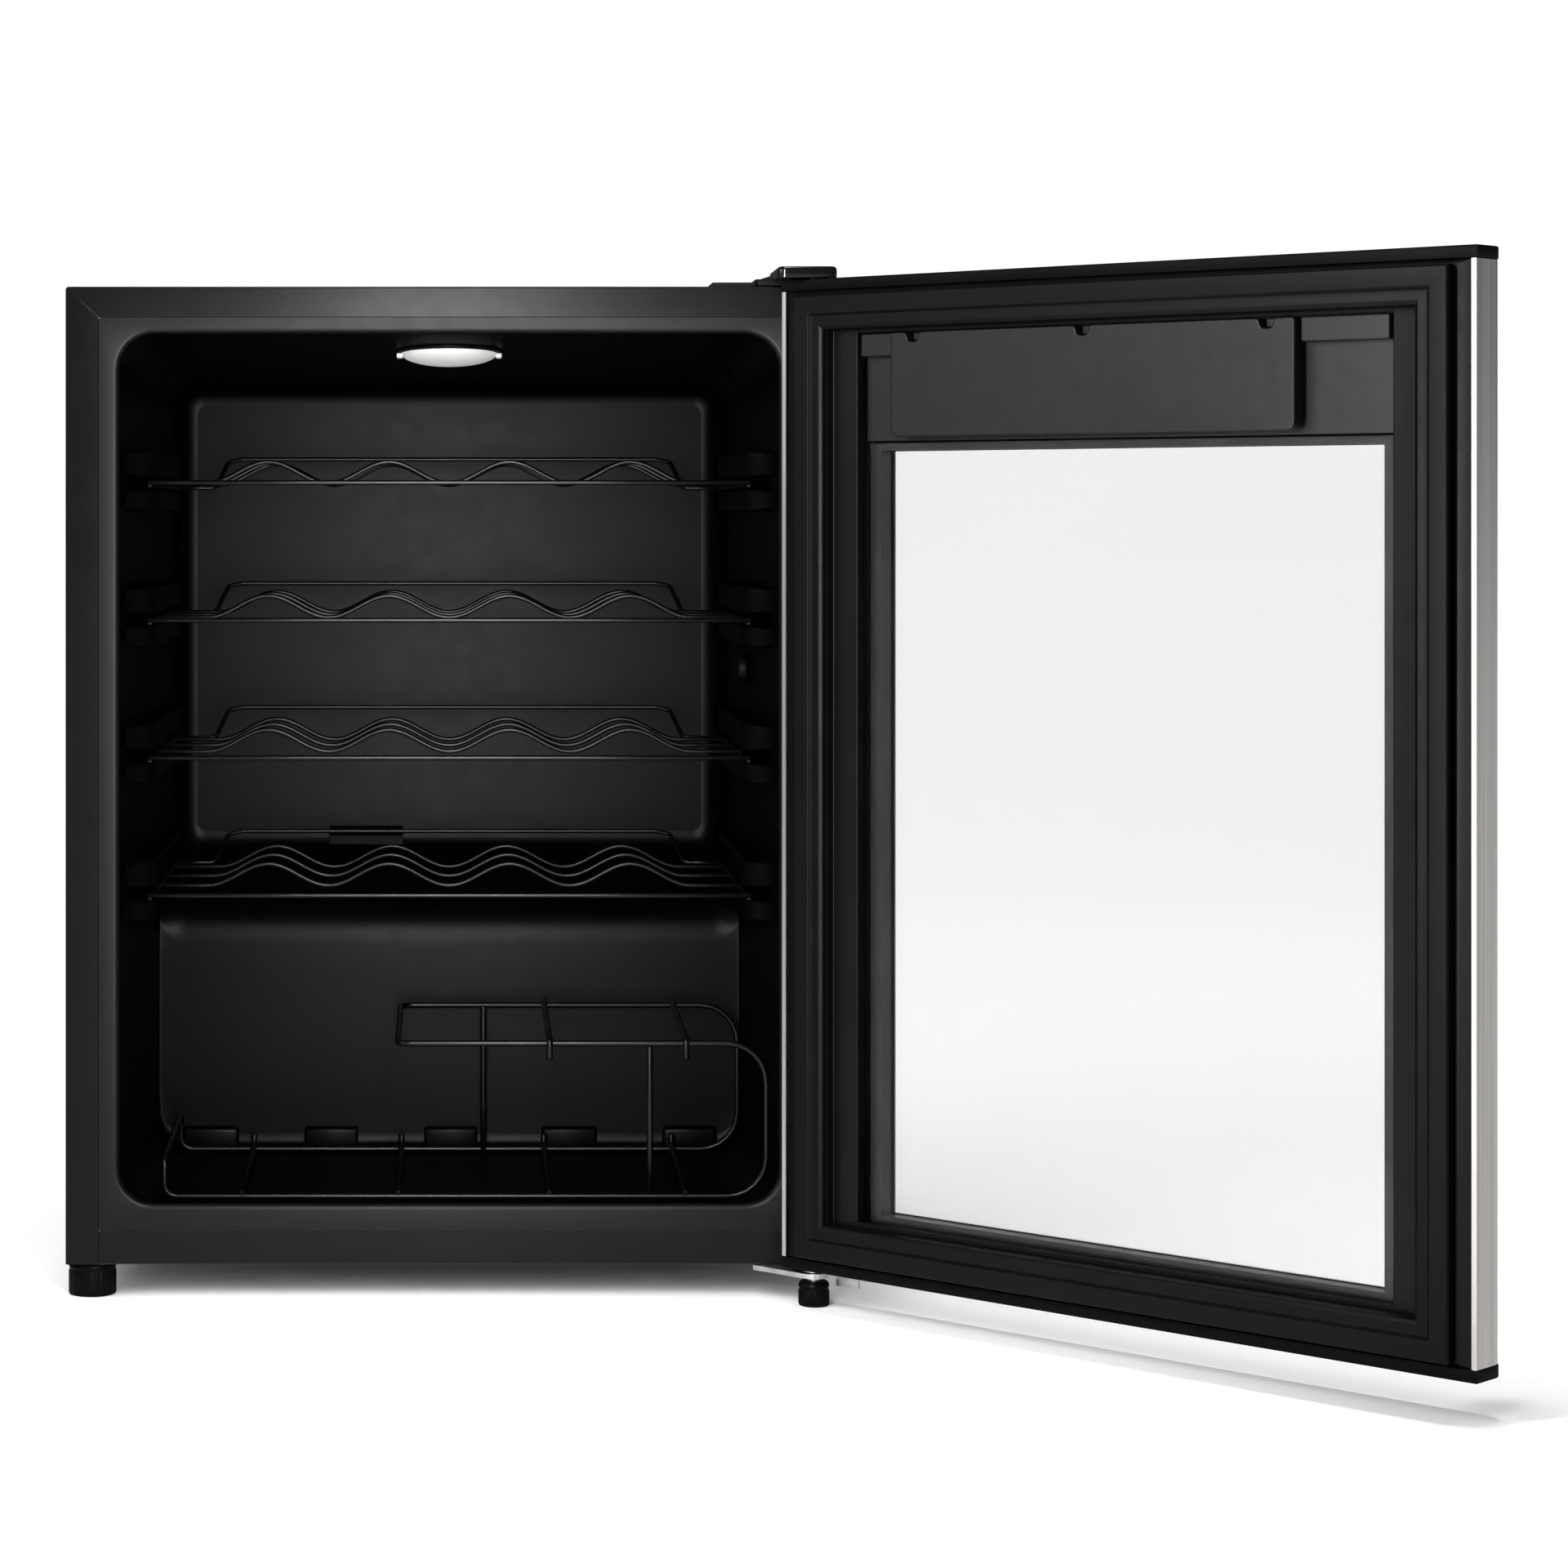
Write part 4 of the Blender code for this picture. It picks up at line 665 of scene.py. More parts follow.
class Look(Enum):
    """Every finish on the fridge."""

    ENAMEL = Finish("black_enamel_paint", (0.0050, 0.0050, 0.0053), (0.0070, 0.0070, 0.0074), (0.31, 0.34),
                    relief=0.000004, relief_scale=420.0, cells=0.2, dust=0.0, specular=0.20)
    LINER = Finish("black_formed_liner", (0.0015, 0.0015, 0.0016), (0.0024, 0.0024, 0.0025), (0.34, 0.37),
                   relief=0.000003, relief_scale=700.0, dust=0.0, specular=0.13, flat_edge=1.5)
    # The liner's flange is the liner's own black plastic, given a paler colour and a stronger reflection than LINER: a
    # painted highlight for the light that falls on the flange.
    PAINTED_HIGHLIGHT_FLANGE = Finish("black_liner_flange_painted_highlight", (0.0030, 0.0030, 0.0032), (0.0042, 0.0042, 0.0044), (0.40, 0.44),
                    relief=0.000003, relief_scale=700.0, dust=0.0, specular=0.27)
    PLASTIC = Finish("black_moulded_plastic", (0.0025, 0.0025, 0.0026), (0.0040, 0.0040, 0.0041), (0.36, 0.44),
                     relief=0.000008, relief_scale=1100.0, cells=0.9, dust=0.0, specular=0.10, flat_edge=1.0)
    GLOSSY = Finish("black_glossy_plastic", (0.006, 0.006, 0.0065), (0.009, 0.009, 0.0095), (0.12, 0.18),
                    relief=0.000003, relief_scale=700.0, dust=0.0)
    TRIM = Finish("black_control_plastic", (0.0065, 0.0065, 0.0067), (0.0085, 0.0085, 0.0087), (0.34, 0.40),
                  relief=0.000005, relief_scale=1000.0, cells=0.8, dust=0.0, specular=0.42)
    LINING = Finish("black_door_lining", (0.0030, 0.0030, 0.0031), (0.0042, 0.0042, 0.0043), (0.34, 0.40),
                    relief=0.000005, relief_scale=1000.0, cells=0.8, dust=0.0, specular=0.24, flat_edge=0.8)
    RUBBER = Finish("black_seal_rubber", (0.0035, 0.0035, 0.0035), (0.0050, 0.0050, 0.0050), (0.38, 0.44),
                    relief=0.000004, relief_scale=600.0, cells=0.2, dust=0.0, specular=0.17, flat_edge=0.8)
    WIRE = Finish("black_coated_wire", (0.0020, 0.0020, 0.0020), (0.0030, 0.0030, 0.0030), (0.30, 0.36),
                  relief=0.0, dust=0.0, specular=0.36)
    BRUSHED = Finish("brushed_steel_sheet", (0.39, 0.375, 0.365), (0.49, 0.475, 0.462), (0.28, 0.42), metal=1.0,
                     variation=420.0, stretch=(1.0, 1.0, 0.006), relief=0.000012, relief_scale=1500.0, dust=0.0)
    HANDLE = Finish("brushed_steel_bar", (0.55, 0.53, 0.51), (0.66, 0.64, 0.62), (0.24, 0.36), metal=1.0,
                    variation=500.0, stretch=(1.0, 1.0, 0.01), relief=0.00001, relief_scale=1500.0, dust=0.0)
    ZINC = Finish("zinc_plated_steel", (0.42, 0.42, 0.41), (0.60, 0.60, 0.59), (0.28, 0.46), metal=1.0,
                  variation=90.0, relief=0.00001, relief_scale=500.0, dust=0.05)
    GALVANISED = Finish("galvanised_sheet", (0.34, 0.35, 0.36), (0.52, 0.53, 0.54), (0.32, 0.52), metal=1.0,
                        variation=45.0, relief=0.00001, relief_scale=120.0, cells=1.0, dust=0.15)
    COPPER = Finish("copper_tube", (0.52, 0.24, 0.13), (0.66, 0.36, 0.22), (0.26, 0.44), metal=1.0,
                    variation=60.0, relief=0.00001, relief_scale=400.0, dust=0.10)
    ALUMINIUM = Finish("rolled_aluminium", (0.60, 0.61, 0.62), (0.70, 0.71, 0.72), (0.30, 0.42), metal=1.0,
                       variation=200.0, stretch=(1.0, 1.0, 0.05), dust=0.0)
    SPACER = Finish("blackened_spacer", (0.012, 0.012, 0.012), (0.018, 0.018, 0.018), (0.35, 0.45), dust=0.0)
    SMOKED = Finish("smoked_window", (0.004, 0.004, 0.005), (0.007, 0.007, 0.008), (0.05, 0.09), coat=0.6,
                    relief=0.000002, dust=0.0)
    OPAL = Finish("opal_lens", (0.42, 0.42, 0.41), (0.47, 0.47, 0.46), (0.28, 0.36), relief=0.00002,
                  relief_scale=350.0, dust=0.0, glow=0.5)
    NYLON = Finish("white_nylon", (0.74, 0.73, 0.70), (0.80, 0.79, 0.76), (0.38, 0.48), dust=0.02)
    FOAM = Finish("poured_foam", (0.66, 0.55, 0.32), (0.78, 0.68, 0.44), (0.85, 0.95), variation=40.0,
                  relief=0.0004, relief_scale=300.0, cells=1.0, dust=0.0)
    CIRCUIT = Finish("circuit_board", (0.010, 0.060, 0.025), (0.020, 0.110, 0.045), (0.30, 0.50),
                     variation=160.0, relief=0.0001, relief_scale=260.0, cells=1.0, dust=0.0)
    GLASS = ClearGlass("clear_float_glass", (0.929, 0.932, 0.930))


class Workshop:
    """Holds the finished materials and makes pieces in them."""

    def __init__(self) -> None:
        """Builds the shared effects and every finish."""
        effects = Effects()
        self.looks = {look: look.value.build(effects) for look in Look}

    def make(self, name: str, shape: Shape, place: Place, look: Look, body: str,
             stands_for: tuple[str, ...] = (), crease: float = 38.0) -> bpy.types.Object:
        """Makes one piece in a finish; the arguments are those of piece()."""
        return piece(name, shape, place, self.looks[look], body, stands_for, crease)

    def dress(self, look: Look, *nodes: str) -> None:
        """Gives CAD nodes that keep their own shape a finish."""
        for node in nodes:
            for slot in frame["nodes"][node].material_slots:
                slot.material = self.looks[look]
            LOG.info("%s: CAD shape in %s", node, look.name)


# ---------------------------------------------------------------- the cabinet
@dataclass
class Cabinet:
    """The steel wrap, the moulded liner with its ribs, the lamp, the sensor and the drain."""

    half: float = 0.240
    low: float = 0.021
    high: float = 0.6325
    depth: float = 0.400
    sheet: float = 0.001
    side_flange: float = 0.0204
    top_flange: float = 0.0189
    corner: float = 0.0022
    flange_low: float = 0.0419
    opening_half: float = 0.2065
    opening_low: float = 0.0586
    opening_high: float = 0.6034
    opening_radius: float = 0.022
    side_draft: float = 0.0426
    top_draft: float = 0.0677
    floor_rise: float = 0.02875
    floor_level: float = 0.0537
    floor_start: float = 0.013
    liner_depth: float = 0.350
    liner_wall: float = 0.0022
    hump_front: float = 0.222
    hump_high: float = 0.228
    hump_radius: float = 0.030
    hump_rise: float = 0.249
    shelf_levels: tuple[float, ...] = SHELF_LEVELS
    rib_face: float = 0.187
    rib_depths: tuple[float, float] = (0.028, 0.330)
    rib_spans: tuple[tuple[float, float], ...] = ((-0.018, -0.0041), (0.0035, 0.0205))
    pads: tuple[tuple[float, float], ...] = ((-0.180, -0.143), (-0.098, -0.062), (-0.017, 0.019),
                                             (0.063, 0.100), (0.145, 0.181))
    place: Place = field(default_factory=cabinet_place)

    def wall(self, depth: Array) -> Array:
        """Half width of the liner's space: it narrows evenly with depth."""
        return self.opening_half - self.side_draft * depth

    def ceiling(self, depth: Array) -> Array:
        """Height of the liner's ceiling: it falls evenly with depth."""
        return self.opening_high - self.top_draft * depth

    def floor(self, depth: Array) -> Array:
        """Height of the liner's floor: it rises evenly with depth behind the sill's step."""
        return self.floor_level + self.floor_rise * (depth - self.floor_start)

    def wrap(self, shop: Workshop) -> None:
        """The wrap: a folded section carried up one side, across the top and down the other, with round
        corners whose radius shrinks by the section's inset; the section's front fold is rounded too."""
        s = self.sheet
        side, top = self.side_flange + GAP * 0.7, self.top_flange + GAP * 0.7
        fold = 0.0012
        angle = np.linspace(0, math.pi / 2, 5)
        front = np.stack([fold * (1 - np.cos(angle)), fold * (1 - np.cos(angle)), fold * (1 - np.sin(angle))], -1)
        section = np.concatenate([[[0, 0, self.depth]], front,
                                  [[side - 0.0003, top - 0.0003, 0], [side, top, 0.0003], [side, top, s],
                                   [s, s, s], [s, s, self.depth]]])
        inset_side, inset_top, depth = section[:, 0], section[:, 1], section[:, 2]
        steps = 6
        turn = np.linspace(0, math.pi / 2, steps + 1)
        radius = np.maximum(self.corner - inset_top, 0.0002)[:, None]
        x_edge, z_edge = (self.half - inset_side)[:, None], (self.high - inset_top)[:, None]
        corner_x = x_edge - radius + radius * np.cos(turn)[None]
        corner_z = z_edge - radius + radius * np.sin(turn)[None]
        bottom = np.full((len(section), 1), self.low)
        x = np.concatenate([x_edge, corner_x, -corner_x[:, ::-1], -x_edge], axis=1)
        z = np.concatenate([bottom, corner_z, corner_z[:, ::-1], bottom], axis=1)
        y = np.broadcast_to(depth[:, None], x.shape)
        rings = np.stack([x, y, z], axis=-1).transpose(1, 0, 2)
        shop.make("cabinet_wrap", Shape().grid(rings), self.place, Look.ENAMEL, "cabinet", ("outer_wrap",))

    def sections(self) -> tuple[Array, Array, Array, Array]:
        """Stations of the liner from front to back: depth, floor height, corner radius and how far the ring
        is drawn in, with the floor following the sill, the step, the fillet and the rounded hump."""
        lip = np.linspace(0, math.pi / 2, 5)
        r = 0.0035
        rows = [(r * (1 - math.sin(a)), self.opening_low, self.opening_radius, -r * (1 - math.cos(a)))
                for a in lip[::-1]]
        rows += [(0.008, self.opening_low, self.opening_radius, 0.0), (0.0095, self.opening_low - 0.0006, 0.022, 0.0),
                 (0.0115, self.opening_low - 0.0038, 0.022, 0.0), (0.013, float(self.floor(0.013)), 0.022, 0.0)]
        rows += [(y, float(self.floor(y)), 0.022, 0.0) for y in (0.05, 0.10, 0.15, 0.2120)]
        draft = 0.0016
        start = self.hump_front - draft
        fillet = 0.008
        base = float(self.floor(start - fillet))
        rows += [(start - fillet + fillet * math.sin(a), base + fillet * (1 - math.cos(a)), 0.020, 0.0)
                 for a in np.linspace(0.3, 1.35, 4)]
        arc_low = self.hump_high - self.hump_radius
        rows += [(start + draft * t, base + 0.010 + (arc_low - base - 0.010) * t, 0.018, 0.0)
                 for t in np.linspace(0, 1, 8)]
        rows += [(self.hump_front + self.hump_radius * (1 - math.cos(a)), arc_low + self.hump_radius * math.sin(a),
                  0.018, 0.0) for a in np.linspace(0.12, math.pi / 2, 8)]
        rows += [(y, self.hump_high + self.hump_rise * (y - self.hump_front - self.hump_radius), 0.017, 0.0)
                 for y in (0.280, 0.310, 0.336)]
        back = 0.012
        rows += [(self.liner_depth - back + back * math.sin(a),
                  self.hump_high + self.hump_rise * (self.liner_depth - back + back * math.sin(a) - self.hump_front
                                                     - self.hump_radius),
                  0.017 - 0.010 * (1 - math.cos(a)), back * (1 - math.cos(a)))
                 for a in np.linspace(0.25, math.pi / 2, 6)]
        table = np.array(rows)
        return table[:, 0], table[:, 1], table[:, 2], table[:, 3]

    def rings(self, grow: float, steps: int = 8) -> Array:
        """Rings of the liner's space, one round rectangle per station, grown out by a wall's thickness."""
        depth, low, radius, inset = self.sections()
        change = grow - inset
        half = self.wall(depth) + change
        low = low - change
        high = self.ceiling(depth) + change
        outline = rounded_outline(1.0, 1.0, 0.0, steps)
        angle = np.linspace(0, math.pi / 2, steps + 1)
        turns = (angle[None, :] + np.arange(4)[:, None] * math.pi / 2).ravel()
        radius = (radius + np.maximum(grow, 0) - np.minimum(inset, 0))[:, None]
        middle, tall = ((low + high) / 2)[:, None], ((high - low) / 2)[:, None]
        x = outline[None, :, 0] * (half[:, None] - radius) + radius * np.cos(turns)[None]
        z = middle + outline[None, :, 1] * (tall - radius) + radius * np.sin(turns)[None]
        return np.stack([x, np.broadcast_to(depth[:, None], x.shape), z], axis=-1)

    def liner(self, shop: Workshop) -> None:
        """The liner: its space from back to front, its flange, and its outside from front to back, as one
        closed skin, with the shelf ribs and the pads at the hump's foot in the same mesh."""
        inner = self.rings(0.0)
        outer = self.rings(self.liner_wall)
        outer[:, :, 1] += np.where(outer[:, :, 1] > self.liner_depth - 0.02, self.liner_wall, 0.0)
        lip = 4
        flange_half = self.half - self.side_flange - GAP
        top = self.high - self.top_flange - GAP
        outline = rounded_outline(flange_half, (top - self.flange_low) / 2, 0.002, 8)
        middle = (top + self.flange_low) / 2
        flange = np.stack([np.stack([outline[:, 0], np.full(len(outline), y), outline[:, 1] + middle], axis=-1)
                           for y in (0.0, 0.0015)])
        rim = np.concatenate([inner[:lip + 1][::-1], flange, outer[lip:lip + 1]])
        # The flange wears a paler, glossier copy of the liner's finish: a painted highlight.
        shop.make("liner_flange", Shape().grid(rim, wrap_rows=True), self.place, Look.PAINTED_HIGHLIGHT_FLANGE, "cabinet",
                  ("inner_liner",), crease=44.0)
        shape = Shape().grid(np.concatenate([inner[lip:][::-1], outer[lip:]]))
        for level in self.shelf_levels:
            for side in (-1, 1):
                for low, high in self.rib_spans:
                    back = 0.262 if level + low < self.hump_high + 0.010 else self.rib_depths[1]
                    shape.grid(self.rib(side, level + low, level + high, back))
        foot = float(self.floor(self.hump_front - 0.010))
        for left, right in self.pads:
            shape.grid(bar((left, self.hump_front - 0.010, foot - 0.0015), (right, self.hump_front + 0.0015, 0.074),
                           0.003, 0.002, Axis.X))
        shop.make("formed_liner", shape, self.place, Look.LINER, "cabinet", ("inner_liner",), crease=44.0)

    def rib(self, side: int, low: float, high: float, back: float) -> Array:
        """A shelf rib: a round-edged bar between the wall and the rib's face, whose nose swells out of the
        wall along three times a share's square less twice its cube and whose back end is eased."""
        start, nose, ease = self.rib_depths[0], 0.026, 0.0018
        share = np.linspace(0, 1, 9)
        depth = np.concatenate([start + nose * share, np.linspace(start + nose, back - ease, 6)[1:],
                                back - ease * (1 - np.sin(share[3::2] * math.pi / 2))])
        wall = self.wall(depth) + self.liner_wall * 0.5
        reach = np.interp(depth, start + nose * share, 3 * share ** 2 - 2 * share ** 3)
        eased = ease - np.sqrt(np.maximum(ease ** 2 - (depth - back + ease) ** 2, 0))
        squeeze = np.where(depth > back - ease, eased, 0)
        face = wall - 0.0008 - (wall - 0.0008 - self.rib_face) * reach + squeeze
        tall = (high - low) / 2 - squeeze - 0.0016 * (1 - reach)
        rings = []
        for y, outside, inside, half in zip(depth, wall, face, tall):
            width = (outside - inside) / 2
            flat = rounded_outline(width, half, min(0.0018, width * 0.9), 4)
            rings.append(np.column_stack([side * (flat[:, 0] + (outside + inside) / 2), np.full(len(flat), y),
                                          flat[:, 1] + (low + high) / 2]))
        return np.stack(rings)

    def fittings(self, shop: Workshop) -> None:
        """The lamp and the sensor's cap."""
        depth = 0.100
        tilt = -math.atan(self.top_draft)
        seat = np.array([0.0, depth, float(self.ceiling(depth)) - GAP])

        def tilted(rings: Array) -> Array:
            """Turns rings about X by the ceiling's slope and moves them to the lamp's seat."""
            c, s = math.cos(tilt), math.sin(tilt)
            return rings @ np.array([[1, 0, 0], [0, c, s], [0, -s, c]]).astype(float) + seat

        base = np.array([[0.0335, -0.0014], [0.0342, -0.0012], [0.0345, -0.0008], [0.0345, -0.0001]])
        shop.make("lamp_ring", Shape().grid(tilted(turned(base, 64))), self.place, Look.PLASTIC, "cabinet",
                  ("lamp_base",))
        angle = np.linspace(0.12, math.pi / 2, 10)
        dome = np.stack([0.0312 * np.sin(angle), -0.0017 - 0.0082 * np.cos(angle)], axis=-1)
        inner = np.stack([0.0294 * np.sin(angle[::-1]), -0.0017 - 0.0064 * np.cos(angle[::-1])], axis=-1)
        lens = Shape().grid(tilted(turned(np.concatenate([dome, inner]), 64)))
        for side in (-1, 1):
            lens.grid(tilted(bar((side * 0.0322 - 0.0020, -0.005, -0.0046), (side * 0.0322 + 0.0020, 0.005, -0.0018),
                                 0.0009, 0.0008)))
        shop.make("lamp_dome", lens, self.place, Look.OPAL, "cabinet", ("lamp_lens",))
        wall = float(self.wall(0.189)) - GAP
        cap = np.array([[0.011, wall], [0.011, wall - 0.0035], [0.0104, wall - 0.0052], [0.0088, wall - 0.0063],
                        [0.0050, wall - 0.0069], [0.0015, wall - 0.0070]])
        rings = turned(cap, 40, Axis.X) + np.array([0.0, 0.178, 0.387])
        shop.make("sensor_cap", Shape().grid(rings), self.place, Look.PLASTIC, "cabinet", ("sensor_cover",))

    def build(self, shop: Workshop) -> None:
        """Makes every piece of the cabinet and dresses the CAD nodes that stay."""
        self.wrap(shop)
        self.liner(shop)
        self.fittings(shop)
        shop.dress(Look.ENAMEL, "front_sill", "rear_panel")
        shop.dress(Look.GALVANISED, "base_pan", "compressor_tray", "bay_panel")
        shop.dress(Look.FOAM, "foam_insulation")
        shop.dress(Look.ALUMINIUM, "evaporator")
        shop.dress(Look.PLASTIC, "drain_cover", "drain_tube")


# ---------------------------------------------------------------- shelves and rack
@dataclass
class Wirework:
    """The four wave shelves and the rack on the floor, all of round coated wire."""

    levels: tuple[float, ...] = SHELF_LEVELS
    wire: float = 0.0015
    weld: float = 0.0018
    front: float = 0.030
    half: float = 0.1895
    spacing: float = 0.069
    pitch: float = 0.0786
    height: float = 0.014
    peaks: int = 4
    stop_half: float = 0.145
    stop_depth: float = 0.310
    stop_raise: float = 0.0185
    rack_wire: float = 0.002
    rack_low: tuple[float, float] = (0.05678, 0.06138)
    rack_deck: tuple[float, float] = (0.154, 0.1586)
    rack_depths: tuple[float, float] = (0.040, 0.200)
    rack_left: float = -0.181
    rack_right: tuple[float, float] = (0.2015, 0.1945)
    deck_left: float = -0.0327
    floor_bars: tuple[float, ...] = (-0.1318, -0.0322, 0.0638, 0.150)
    deck_bars: tuple[float, ...] = (0.0638, 0.1504)
    place: Place = field(default_factory=cabinet_place)

    def wave(self, depth: float) -> Array:
        """A wave wire: height is half the wave's height times one minus the cosine along its length."""
        end = self.pitch * self.peaks / 2
        x = np.concatenate([[-self.half - self.wire], np.linspace(-end, end, 24 * self.peaks + 1),
                            [self.half + self.wire]])
        z = np.where(np.abs(x) >= end, 0.0, self.height / 2 * (1 - np.cos(2 * math.pi * (x + end) / self.pitch)))
        return np.stack([x, np.full_like(x, depth), z], axis=-1)

    def shelf(self) -> Shape:
        """One shelf at height zero: side wires that rise to the stop at the back, a rail and three waves."""
        right = [(self.half, self.front, -self.weld), (self.half, 0.290, -self.weld), (0.163, 0.290, -self.weld),
                 (self.stop_half + 0.010, self.stop_depth - 0.003, self.stop_raise - 0.002),
                 (self.stop_half, self.stop_depth, self.stop_raise)]
        left = [(-x, y, z) for x, y, z in reversed(right)]
        path = bent(right + left, [0, 0.018, 0.006, 0.004, 0.006, 0.006, 0.004, 0.006, 0.018, 0])
        end = self.half + self.wire
        shape = Shape().grid(rod(path, self.wire))
        rail = np.linspace([-end, self.front, 0.0], [end, self.front, 0.0], 5)
        shape.grid(rod(rail, self.wire * 1.1, 14))
        for number in range(1, 4):
            shape.grid(rod(self.wave(self.front + self.spacing * number), self.wire))
        return shape

    def rack(self) -> Shape:
        """The rack: one closed loop that forms the front and back frames, with bars across its floor and deck."""
        front, back = self.rack_depths
        low_front, low_back = self.rack_low
        deck_front, deck_back = self.rack_deck
        corners = [
            (self.deck_left, front, deck_front), (self.rack_right[0], front, deck_front),
            (self.rack_right[0], front, low_front), (self.rack_left, front, low_front),
            (self.rack_left, front, low_front + 0.025), (self.rack_left, back, low_back + 0.025),
            (self.rack_left, back, low_back), (self.rack_right[1], back, low_back),
            (self.rack_right[1], back, deck_back), (self.deck_left, back, deck_back),
        ]
        shape = Shape().grid(rod(bent(corners, [0.008, 0.025, 0.025, 0.008, 0.008, 0.008, 0.008, 0.025, 0.025, 0.008],
                                      closed=True), self.rack_wire, 14, closed=True), wrap_rows=True)
        lift, drop = self.rack_wire * 1.2, 0.010
        near, far = front - self.rack_wire, back + self.rack_wire
        for x in self.deck_bars:
            shape.grid(rod(bent([(x, far, deck_back + lift), (x, near, deck_front + lift),
                                 (x, near, deck_front - drop)], 0.003), self.rack_wire))
        for x in self.floor_bars:
            shape.grid(rod(bent([(x, near, low_front + lift), (x, far, low_back + lift),
                                 (x, far, low_back + drop)], 0.003), self.rack_wire))
        for x, depth, low, high in ((0.1276, front + lift, low_front, deck_front),
                                    (0.0230, back - lift, low_back, deck_back)):
            shape.grid(rod(np.linspace([x, depth, low], [x, depth, high], 4), self.rack_wire))
        return shape

    def build(self, shop: Workshop) -> None:
        """Makes the shelves and the rack."""
        for number, level in enumerate(self.levels, 1):
            shape = self.shelf()
            shape.points = [points + np.array([0.0, 0.0, level]) for points in shape.points]
            shop.make(f"wave_shelf_{number}", shape, self.place, Look.WIRE, f"shelf_{number}", (f"shelf_{number}",),
                      crease=70.0)
        shop.make("floor_rack", self.rack(), self.place, Look.WIRE, "rack", ("bottle_rack",), crease=70.0)


